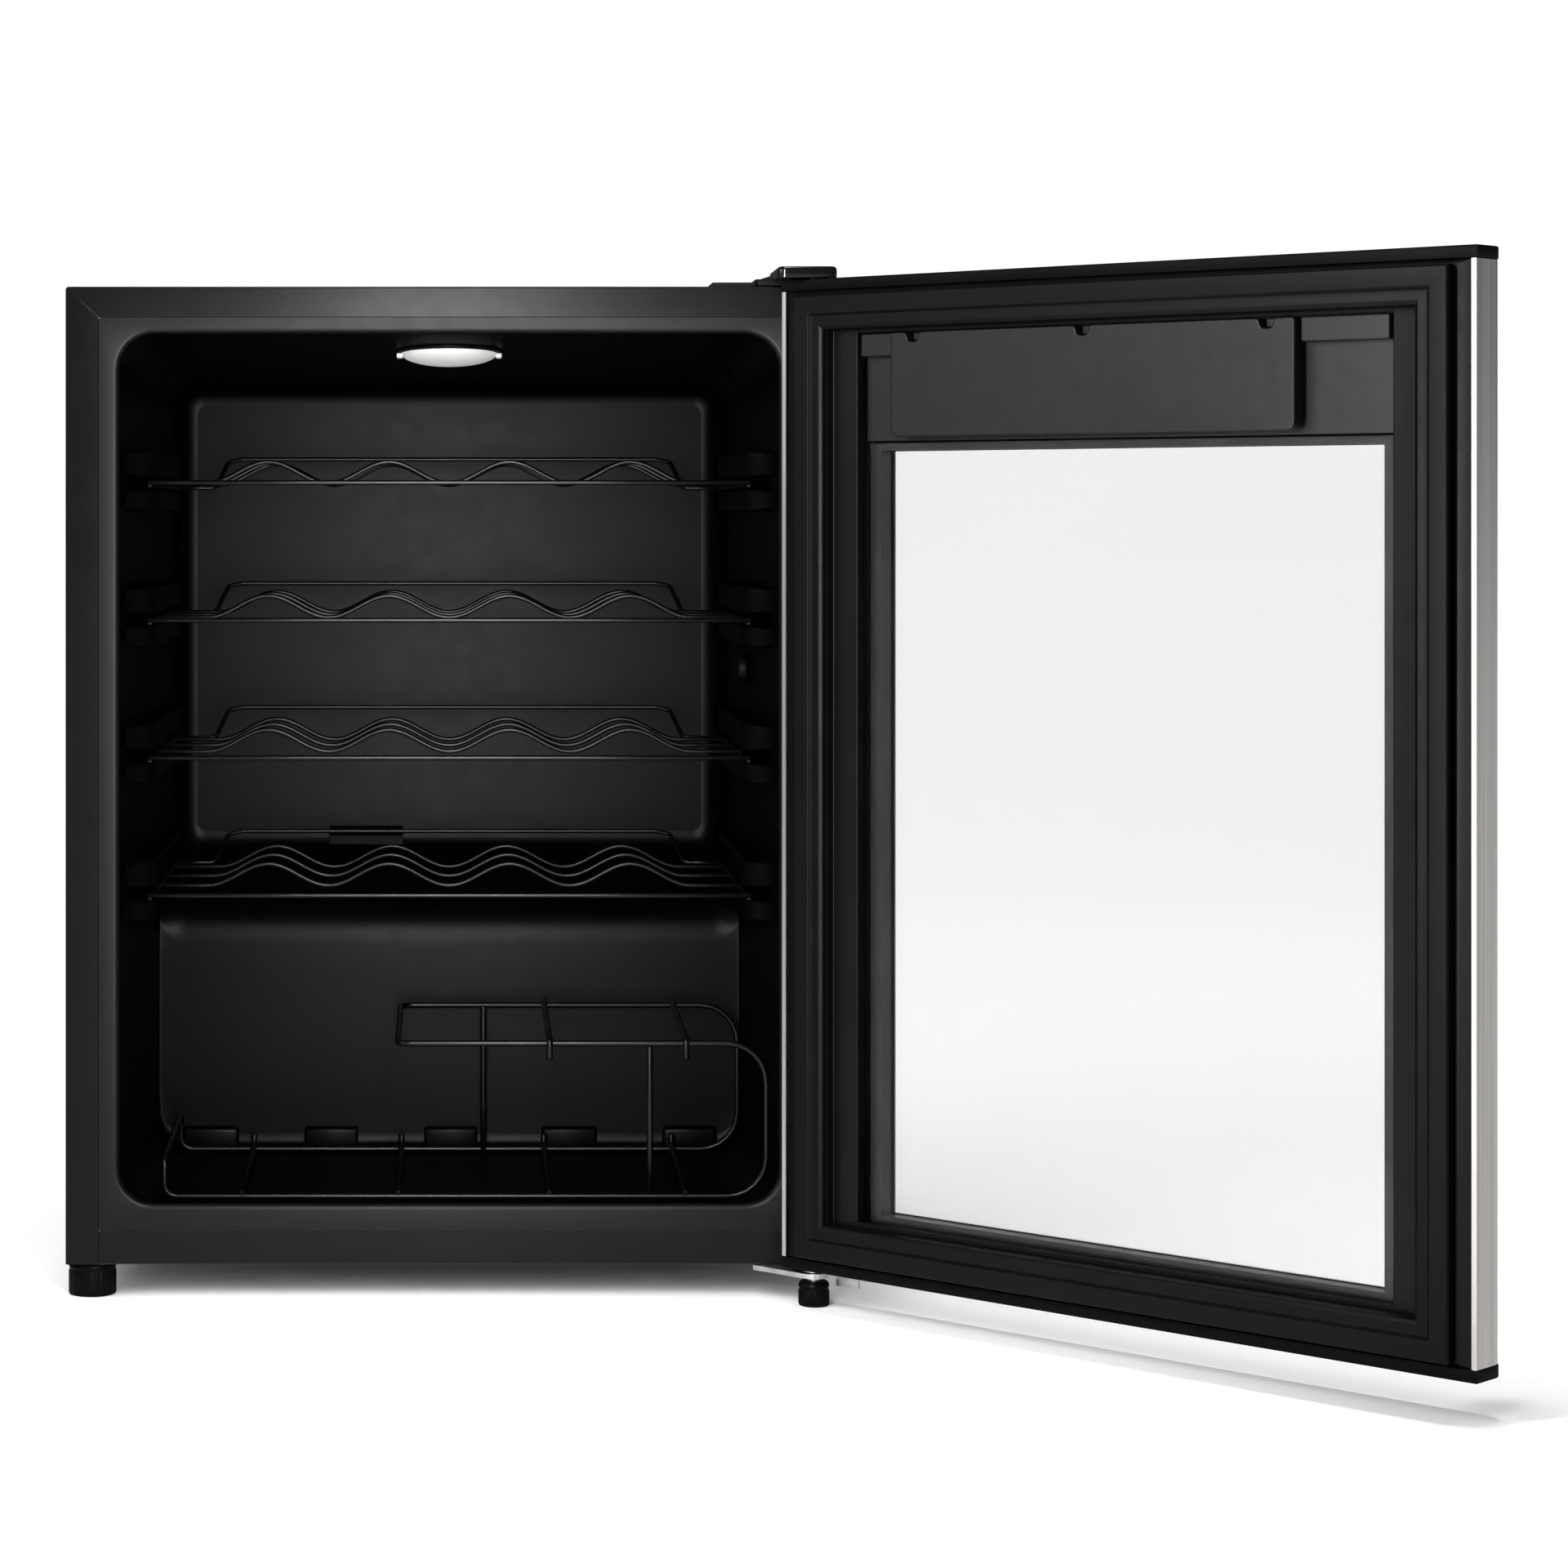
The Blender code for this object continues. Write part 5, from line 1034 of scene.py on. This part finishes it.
# ---------------------------------------------------------------- the door
@dataclass
class Door:
    """The door: steel stiles and rails, glazing, plastic lining, seal, control box and handle."""

    hinge_edge: float = 0.0135
    free_edge: float = -0.4655
    inner: float = 0.0145
    outer: float = -0.0175
    low: float = 0.0235
    high: float = 0.635
    cap: float = 0.007
    proud: float = 0.0004
    round_edge: float = 0.013
    skin: float = 0.001
    stile: float = 0.0652
    stile_return: float = 0.003
    step: float = 0.0543
    cover: tuple[float, float] = (-0.3513, -0.0688)
    cover_low: float = 0.537
    cover_high: float = 0.6003
    cover_proud: float = 0.012
    box_low: float = 0.5345
    box_high: float = 0.6004
    block_low: float = 0.5862
    handle_from_edge: float = 0.032
    handle_standoff: float = 0.035
    clips: tuple[float, ...] = (-0.0854, -0.2084, -0.3329)
    place: Place = field(default_factory=door_place)

    def frame_rings(self, profile: Array) -> Array:
        """Rings of a rectangular frame: each profile point gives its distances from the door's side, bottom
        and top edges and its depth, and so one rectangle; the four corners are mitres."""
        side, bottom, top, depth = profile.T
        left, right = self.free_edge + side, self.hinge_edge - side
        low, high = self.low + bottom, self.high - top
        x = np.stack([left, right, right, left], axis=-1)
        z = np.stack([low, low, high, high], axis=-1)
        return np.stack([x, np.broadcast_to(depth[:, None], x.shape), z], axis=-1)

    def lining(self, shop: Workshop) -> None:
        """The plastic lining's section with every edge softened, and the seal's section with its flat land,
        its hollow bead and the groove beside it."""
        face, land, foot, wall = self.inner, 0.0085, 0.0022, 0.002
        edge, end, step = 0.0036, self.cap + GAP, self.step
        section = np.array([
            (edge, end, end, face - 0.0022), (edge, end, end, face - 0.0018), (0.0130, 0.0095, 0.0105, face),
            (0.0355, 0.031, 0.032, face),
            (0.0355, 0.031, 0.032, land), (step, 0.034, 0.034, land), (step, 0.034, 0.034, foot),
            (step - wall, 0.0325, 0.0325, foot), (step - wall, 0.0325, 0.0325, land - wall),
            (0.0335, 0.029, 0.030, land - wall), (0.0335, 0.029, 0.030, face - 0.0022)])
        shape = Shape().grid(self.frame_rings(softened(section, 0.0009)), wrap_rows=True)
        shop.make("door_lining", shape, self.place, Look.LINING, "door", ("inner_frame",), crease=30.0)
        base, top = face + GAP, face + GAP + 0.0062
        seal = np.array([
            (0.0135, 0.0088, 0.0100, base), (0.0135, 0.0088, 0.0100, top - 0.0012), (0.0146, 0.0099, 0.0111, top),
            (0.0250, 0.0203, 0.0215, top), (0.0268, 0.0221, 0.0233, top - 0.0020),
            (0.0290, 0.0243, 0.0255, top - 0.0018), (0.0325, 0.0278, 0.0290, top - 0.0012),
            (0.0350, 0.0303, 0.0315, top - 0.0026),
            (0.0355, 0.0310, 0.0320, base)])
        shape = Shape().grid(self.frame_rings(softened(seal, 0.0008)), wrap_rows=True)
        shop.make("door_seal", shape, self.place, Look.RUBBER, "door", ("door_gasket",), crease=30.0)

    def border(self, shop: Workshop) -> None:
        """The black border printed on the outer pane's inner face, which hides the stiles and rails."""
        ring = np.array([(0.0530, 0.0235, 0.0910), (0.0656, 0.0386, 0.1064)])
        front, back = -0.01215, -0.01200
        profile = np.array([(*ring[0], front), (*ring[1], front), (*ring[1], back), (*ring[0], back)])
        shop.make("pane_border", Shape().grid(self.frame_rings(profile), wrap_rows=True), self.place, Look.PLASTIC,
                  "door")

    def stiles(self, shop: Workshop) -> None:
        """The folded stiles: face, quarter round, side and return, carried up the door."""
        r, t = self.round_edge, self.skin
        angle = np.linspace(0, math.pi / 2, 11)
        outside = np.stack([r - r * np.sin(angle), self.outer + r - r * np.cos(angle)], axis=-1)
        inside = np.stack([r - (r - t) * np.sin(angle), self.outer + r - (r - t) * np.cos(angle)], axis=-1)[::-1]
        fold = self.stile_return
        turned_in = [[0.0, self.inner], [fold, self.inner], [fold, self.inner - t], [t, self.inner - t]]
        outline = np.concatenate([[[self.stile, self.outer]], outside, turned_in, inside,
                                  [[self.stile, self.outer + t]]])
        low, high = self.low + self.cap + GAP, self.high - self.cap - GAP
        for name, node, edge, inward in (("hinge_stile", "door_stile_hinge", self.hinge_edge, -1),
                                         ("free_stile", "door_stile_free", self.free_edge, 1)):
            rings = np.stack([np.stack([edge + inward * outline[:, 0], outline[:, 1], np.full(len(outline), z)], -1)
                              for z in np.linspace(low, high, 4)])
            shop.make(name, Shape().grid(rings), self.place, Look.BRUSHED, "door", (node,), crease=30.0)

    def caps(self, shop: Workshop) -> None:
        """The end caps: the door's outline with two round corners, eased at its top and bottom edges, with
        the bush's hole left to the bush itself."""
        r = self.round_edge
        left, right, front = self.free_edge - self.proud, self.hinge_edge + self.proud, self.outer - self.proud
        angle = np.linspace(0, math.pi / 2, 9)
        right_arc = np.stack([right - r + r * np.sin(angle), front + r - r * np.cos(angle)], axis=-1)
        left_arc = np.stack([left + r - r * np.sin(angle[::-1]), front + r - r * np.cos(angle[::-1])], axis=-1)
        outline = np.concatenate([right_arc, [[right, self.inner], [left, self.inner]], left_arc])
        middle = np.array([(left + right) / 2, (front + self.inner) / 2])
        half = np.array([(right - left) / 2, (self.inner - front) / 2])
        ease = 0.0007
        for name, node, low in (("top_cap", "door_cap_top", self.high - self.cap),
                                ("bottom_cap", "door_cap_bottom", self.low)):
            rings = []
            for z, inset in ((low, ease), (low + ease * 0.3, ease * 0.3), (low + ease, 0.0),
                             (low + self.cap - ease, 0.0), (low + self.cap - ease * 0.3, ease * 0.3),
                             (low + self.cap, ease)):
                flat = middle + (outline - middle) * (half - inset) / half
                rings.append(np.column_stack([flat, np.full(len(flat), z)]))
            shop.make(name, Shape().grid(np.stack(rings)), self.place, Look.PLASTIC, "door", (node,), crease=32.0)

    def controls(self, shop: Workshop) -> None:
        """The control box: a plate with two raised blocks and, on it, a cover whose top edge has three clip
        notches with a clip's tongue behind each."""
        low, high = self.cover
        front, proud, top = 0.0023, self.cover_proud, self.cover_high
        corners = [(high, self.cover_low), (high, top)]
        for clip in sorted(self.clips, reverse=True):
            corners += [(clip + 0.0052, top), (clip + 0.0034, top - 0.0058), (clip - 0.0034, top - 0.0058),
                        (clip - 0.0052, top)]
        corners += [(low, top), (low, self.cover_low)]
        rounding = np.full((len(corners), 1), 0.0022)
        rounding[[0, -1]] = 0.0060
        outline = softened(np.array(corners), rounding, 5)
        shop.make("box_cover", Shape().grid(plate(outline, front, proud, 0.0002, 0.0010, Axis.Y)), self.place,
                  Look.TRIM, "door", ("control_cover",), crease=34.0)
        left, right = self.free_edge + self.step + 0.0022, self.hinge_edge - self.step - 0.0022
        back, face, raised = -0.0116, 0.0019, 0.0080
        outline = softened(np.array([(left, self.box_low), (right, self.box_low), (right, self.box_high),
                                     (left, self.box_high)]), 0.0012)
        shape = Shape().grid(plate(outline, back, face, 0.0004, 0.0008, Axis.Y))
        for start, end in ((left, low - 0.0012), (high + 0.0012, right)):
            outline = softened(np.array([(start, self.block_low), (end, self.block_low), (end, self.box_high),
                                         (start, self.box_high)]), 0.0014)
            shape.grid(plate(outline, face - 0.0006, raised, 0.0002, 0.0010, Axis.Y))
        for clip in self.clips:
            shape.grid(bar((clip - 0.0030, face - 0.0006, top - 0.0052), (clip + 0.0030, proud - 0.0050, top - 0.0004),
                           0.0005, 0.0005))
        shop.make("box_housing", shape, self.place, Look.TRIM, "door", ("control_housing",), crease=34.0)

    def grip(self, shop: Workshop) -> None:
        """The handle: a bar with eased ends on two posts with flared feet."""
        x = self.free_edge + self.handle_from_edge
        y = self.outer - self.handle_standoff
        low, high, r, ease = 0.155, 0.505, 0.006, 0.0012
        profile = np.array([[r - ease, low], [r - ease * 0.3, low + ease * 0.3], [r, low + ease], [r, high - ease],
                            [r - ease * 0.3, high - ease * 0.3], [r - ease, high]])
        shape = Shape().grid(turned(profile, 40) + np.array([x, y, 0.0]))
        post = np.array([[0.0042, 0.001], [0.0042, 0.028], [0.0050, 0.0315], [0.0050, self.handle_standoff - GAP]])
        for z in (low + 0.035, high - 0.035):
            shape.grid(turned(post, 32, Axis.Y) + np.array([x, y, z]))
        shop.make("pull_handle", shape, self.place, Look.HANDLE, "door", ("handle",), crease=40.0)

    def build(self, shop: Workshop) -> None:
        """Makes every piece of the door and dresses the CAD nodes that stay."""
        self.lining(shop)
        self.border(shop)
        self.stiles(shop)
        self.caps(shop)
        self.controls(shop)
        self.grip(shop)
        shop.dress(Look.BRUSHED, "door_rail_top", "door_rail_bottom")
        shop.dress(Look.GLASS, "outer_glass", "inner_glass")
        shop.dress(Look.SPACER, "glass_spacer")
        shop.dress(Look.CIRCUIT, "control_board")
        shop.dress(Look.SMOKED, "display_window")
        shop.dress(Look.NYLON, "upper_bush", "lower_bush")
        shop.dress(Look.ZINC, "door_stop")


# ---------------------------------------------------------------- feet, hinges and machinery
@dataclass
class Hardware:
    """The feet, the hinges, the compressor and the tubes of the cooling circuit."""

    coil_depth: float = 0.4125
    coil_wire: float = 0.0025
    coil_side: float = 0.1965
    coil_pitch: float = 0.033
    coil_low: float = 0.236
    passes: int = 12
    compressor: tuple[float, float] = (-0.080, 0.331)
    compressor_half: tuple[float, float] = (0.070, 0.054)
    compressor_base: float = 0.0410
    compressor_height: float = 0.132
    drier_height: float = 0.130
    return_column: float = -0.190
    flute: float = 0.00022
    pin: tuple[float, float] = (0.226, -0.0215)
    place: Place = field(default_factory=cabinet_place)

    def feet(self, shop: Workshop) -> None:
        """The feet: turned knobs with a rounded rim and a waist under the cabinet."""
        feet = (("left_front_knob", "front_foot_left", "foot_left", (-0.2245, 0.017), 0.015, 0.0207, 0.028),
                ("left_rear_knob", "rear_foot_left", "cabinet", (-0.200, 0.382), 0.012, 0.0207, 0.029),
                ("right_rear_knob", "rear_foot_right", "cabinet", (0.200, 0.382), 0.012, 0.0207, 0.029),
                ("right_front_knob", "front_foot_right", "foot_right", self.pin, 0.0096, 0.0152, 0.0))
        flute = np.cos(24 * np.linspace(0, 2 * math.pi, 192, endpoint=False))[None, :, None] * [1.0, 1.0, 0.0]
        for name, node, body, (x, y), r, top, stem in feet:
            profile = [[r - 0.0016, 0.0], [r - 0.0005, 0.0004], [r, 0.0016], [r, top - 0.006],
                       [r - 0.0006, top - 0.005], [r - 0.0006, top - 0.004], [r, top - 0.003],
                       [r - 0.0004, top - 0.001], [r - 0.0016, top]]
            if stem:
                profile += [[0.004, top], [0.004, stem]]
            rings = turned(np.array(profile), 192)
            middle = (rings[:, :1, 2:] > 0.0014) & (rings[:, :1, 2:] < top - 0.0055)
            rings *= 1 + middle * flute * self.flute / r - middle * [1.0, 1.0, 0.0] * self.flute / r
            shop.make(name, Shape().grid(rings + np.array([x, y, 0.0])), self.place, Look.PLASTIC, body, (node,),
                      crease=40.0)

    def coil(self, shop: Workshop) -> None:
        """The condenser: one tube that runs to and fro up the back and ends at the drier."""
        side, depth = self.coil_side, self.coil_depth
        top = self.coil_low + self.coil_pitch * (self.passes - 1)
        corners = []
        for number in range(self.passes):
            z = top - self.coil_pitch * number
            ends = [(side, depth, z), (-side, depth, z)]
            corners += ends if number % 2 == 0 else ends[::-1]
        corners += [(side, depth, self.drier_height), (side, 0.360, self.drier_height)]
        path = bent(corners, self.coil_pitch / 2 - 0.0003)
        shop.make("serpentine_tube", Shape().grid(rod(path, self.coil_wire)), self.place, Look.WIRE, "cabinet",
                  ("condenser_coil",), crease=70.0)
        riser = side + 0.010
        x, y, z = self.compressor[0] + 0.035, self.compressor[1] + 0.04644, self.compressor_base + 0.040
        path = bent([(x, y, z), (x, depth, z), (riser, depth, z), (riser, depth, top),
                     (side + self.coil_wire / 2 + 0.001, depth, top)], [0, 0.008, 0.008, 0.004, 0])
        shop.make("hot_gas_tube", Shape().grid(rod(path, self.coil_wire)), self.place, Look.COPPER, "cabinet",
                  ("discharge_tube",), crease=70.0)
        x, y, z = self.compressor[0] - 0.0689, self.compressor[1], self.compressor_base + 0.060
        path = bent([(x, y, z), (self.return_column, y, z), (self.return_column, y, 0.2042)], 0.012)
        shop.make("return_tube", Shape().grid(rod(path, 0.0035, 16)), self.place, Look.COPPER, "cabinet",
                  ("suction_tube",), crease=70.0)
        r = 0.0095
        profile = np.array([[0.003, 0.3597], [0.003, 0.3535], [0.0060, 0.350], [r - 0.001, 0.3465], [r, 0.344],
                            [r, 0.303], [r - 0.001, 0.300], [0.0060, 0.297], [0.003, 0.2935], [0.003, 0.2877]])
        rings = turned(profile, 32, Axis.Y) + np.array([side, 0.0, self.drier_height])
        shop.make("drier", Shape().grid(rings), self.place, Look.COPPER, "cabinet", ("filter_drier",))

    def pot(self, shop: Workshop) -> None:
        """The compressor: ovals from a table of scales and heights smoothed into a pot with a welded rim, on a flat
        plate with round corners."""
        x, y = self.compressor
        shares = np.array([(0.70, 0.0), (0.86, 0.03), (0.93, 0.09), (0.97, 0.20), (0.975, 0.44), (0.975, 0.500),
                           (1.0, 0.505), (1.0, 0.545), (0.975, 0.550), (0.970, 0.62), (0.945, 0.74), (0.88, 0.86),
                           (0.74, 0.95), (0.52, 0.99), (0.20, 1.0)])
        ring = circle(72)
        half = np.array(self.compressor_half)
        rings = np.zeros((len(shares), len(ring), 3))
        rings[..., :2] = ring[None] * half * shares[:, None, :1] + np.array([x, y])
        rings[..., 2] = self.compressor_base + self.compressor_height * shares[:, 1:]
        shape = Shape().grid(rings)
        low, high = self.compressor_base - 0.003, self.compressor_base + 0.001
        shape.grid(bar((x - 0.082, y - 0.050, low), (x + 0.082, y + 0.050, high), 0.012, 0.0006, Axis.Z))
        shop.make("compressor_pot", shape, self.place, Look.ENAMEL, "cabinet", ("compressor",))

    def build(self, shop: Workshop) -> None:
        """Makes the feet and the machinery and dresses the CAD nodes that stay."""
        self.feet(shop)
        self.coil(shop)
        self.pot(shop)
        outline = rounded_outline(0.01835, 0.03375, 0.005) + np.array([0.22085, -0.00375])
        shop.make("hinge_lid", Shape().grid(plate(outline, 0.636, 0.643, 0.0003, 0.0022, Axis.Z)), self.place,
                  Look.GLOSSY, "cabinet", ("hinge_cover",))
        shop.make("hinge_base", Shape().grid(bar((0.1915, 0.0012, 0.6331), (0.2385, 0.0480, 0.6372), 0.003, 0.0005,
                                                 Axis.Z)), self.place, Look.PLASTIC, "cabinet")
        shop.dress(Look.ENAMEL, "top_hinge_bracket")
        shop.dress(Look.ZINC, "bottom_hinge_bracket", "bottom_hinge_pin")
        shop.dress(Look.PLASTIC, "relay_cover", "drip_tray")
        shop.dress(Look.RUBBER, "cord_gland", *(f"compressor_grommet_{number}" for number in range(1, 5)))
        shop.dress(Look.ENAMEL, "condenser_strap_left", "condenser_strap_right")


# ---------------------------------------------------------------- floor, light and camera
@dataclass
class Studio:
    """A flat pale floor, soft light from all round and the camera.

    Args:
        camera_back: the camera's distance in front of the cabinet.
        camera_height: its height.
        lens: its focal length, in millimetres.
        sensor: its sensor's width, in millimetres.
        shift: how far its frame is shifted across and up.
        levels: the surround's strength as a backdrop, as a light and in reflections.
        lamps: each soft light's name, spot, aim, size and power.
        sun: the overhead light's angle and energy.
        sun_tilt: its tilt about X and Y, in degrees.
        gamma: the view's gamma.
        place: the cabinet's frame.
    """

    camera_back: float = 2.493
    camera_height: float = 0.490
    lens: float = 91.54
    shift: tuple[float, float] = (0.2135, -0.1719)
    sensor: float = 36.0
    levels: tuple[float, float, float] = (1.04, 0.58, 0.12)
    lamps: tuple[tuple, ...] = (
        ("front_light", (0.0, -0.62, 0.56), (0.0, 0.3, 0.50), (0.16, 1.15), 10.5),
        ("left_light", (-2.0, -0.75, 1.30), (0.38, -0.18, 0.45), (2.0, 1.2), 20.0),
        ("right_light", (2.5, 0.60, 0.70), (0.6, -0.3, 0.35), (1.4, 2.0), 1.2))
    sun: tuple[float, float] = (0.16, 1.8)
    sun_tilt: tuple[float, float] = (-2.5, -2.0)
    gamma: float = 0.8
    place: Place = field(default_factory=cabinet_place)

    def floor(self) -> None:
        """A wide pale floor: one flat sheet just under the feet."""
        mesh = bpy.data.meshes.new("pale_floor")
        size = 40.0
        mesh.from_pydata([(-size, -size, 0.0), (size, -size, 0.0), (size, size, 0.0), (-size, size, 0.0)], [],
                         [(0, 1, 2, 3)])
        material, shader = new_material("pale_floor")
        shader.inputs["Base Color"].default_value = (0.90, 0.90, 0.90, 1.0)
        shader.inputs["Roughness"].default_value = 0.9
        shader.inputs["Specular IOR Level"].default_value = 0.0
        mesh.materials.append(material)
        obj = linked("pale_floor", mesh)

    def surround(self) -> None:
        """An even white surround, full as a backdrop, softer as a light and softest in reflections."""
        world = bpy.data.worlds.new("soft_white")
        world.use_nodes = True
        world.cycles.sampling_method = "NONE"
        nodes = Nodes(world.node_tree)
        path = nodes.add("LightPath").outputs
        backdrop = nodes.math("ADD", path["Is Camera Ray"], path["Is Transmission Ray"])
        level = nodes.math("ADD", nodes.math("MULTIPLY", backdrop, self.levels[0] - self.levels[2]),
                           nodes.math("MULTIPLY", path["Is Diffuse Ray"], self.levels[1] - self.levels[2]))
        shader = world.node_tree.nodes["Background"]
        shader.inputs["Color"].default_value = (1.0, 1.0, 1.0, 1.0)
        nodes.feed(shader.inputs["Strength"], nodes.math("ADD", level, self.levels[2]))
        bpy.context.scene.world = world

    def lamp(self, name: str, spot: tuple, aim: tuple, size: tuple[float, float], power: float) -> None:
        """A soft area light at a spot, turned to its aim, that fades towards its four edges."""
        light = bpy.data.lights.new(name, "AREA")
        light.shape = "RECTANGLE"
        light.size, light.size_y = size
        light.energy = power
        light.use_nodes = True
        nodes = Nodes(light.node_tree)
        across = nodes.add("SeparateXYZ", Vector=nodes.add("NewGeometry").outputs["Parametric"]).outputs
        share = [nodes.math("MULTIPLY", value, nodes.math("SUBTRACT", 1.0, value)) for value in across[:2]]
        nodes.feed(light.node_tree.nodes["Emission"].inputs["Strength"],
                   nodes.math("MULTIPLY", nodes.math("MULTIPLY", share[0], share[1]), 36.0))
        obj = linked(name, light)
        obj.visible_camera = False
        start, end = self.place.world(np.array([spot, aim], float))
        obj.location = start
        obj.rotation_euler = Vector(end - start).to_track_quat("-Z", "Y").to_euler()

    def build(self) -> None:
        """Makes the floor, the lights and the camera."""
        scene = bpy.context.scene
        scene.view_settings.view_transform = "Standard"
        scene.view_settings.gamma = self.gamma
        self.surround()
        self.floor()
        for lamp in self.lamps:
            self.lamp(*lamp)
        sky = bpy.data.lights.new("top_light", "SUN")
        sky.angle, sky.energy = self.sun
        tilt_x, tilt_y = self.sun_tilt
        linked("top_light", sky).rotation_euler = (math.radians(tilt_x), math.radians(tilt_y), 0.0)
        camera = bpy.data.cameras.new("view_camera")
        camera.lens = self.lens
        camera.sensor_width = self.sensor
        camera.shift_x, camera.shift_y = self.shift
        camera.clip_start, camera.clip_end = 0.05, 100.0
        obj = linked("view_camera", camera)
        obj.location = self.place.world(np.array([0.0, -self.camera_back, self.camera_height]))
        obj.rotation_euler = (math.pi / 2, 0.0, 0.0)
        scene.camera = obj


def main() -> None:
    """Builds every sub-assembly in order, then the studio."""
    logging.basicConfig(level=logging.INFO, format="%(message)s")
    shop = Workshop()
    for part in (Cabinet(), Wirework(), Door(), Hardware()):
        LOG.info("building %s", type(part).__name__)
        part.build(shop)
    Studio().build()


if __name__ == "__main__":
    main()
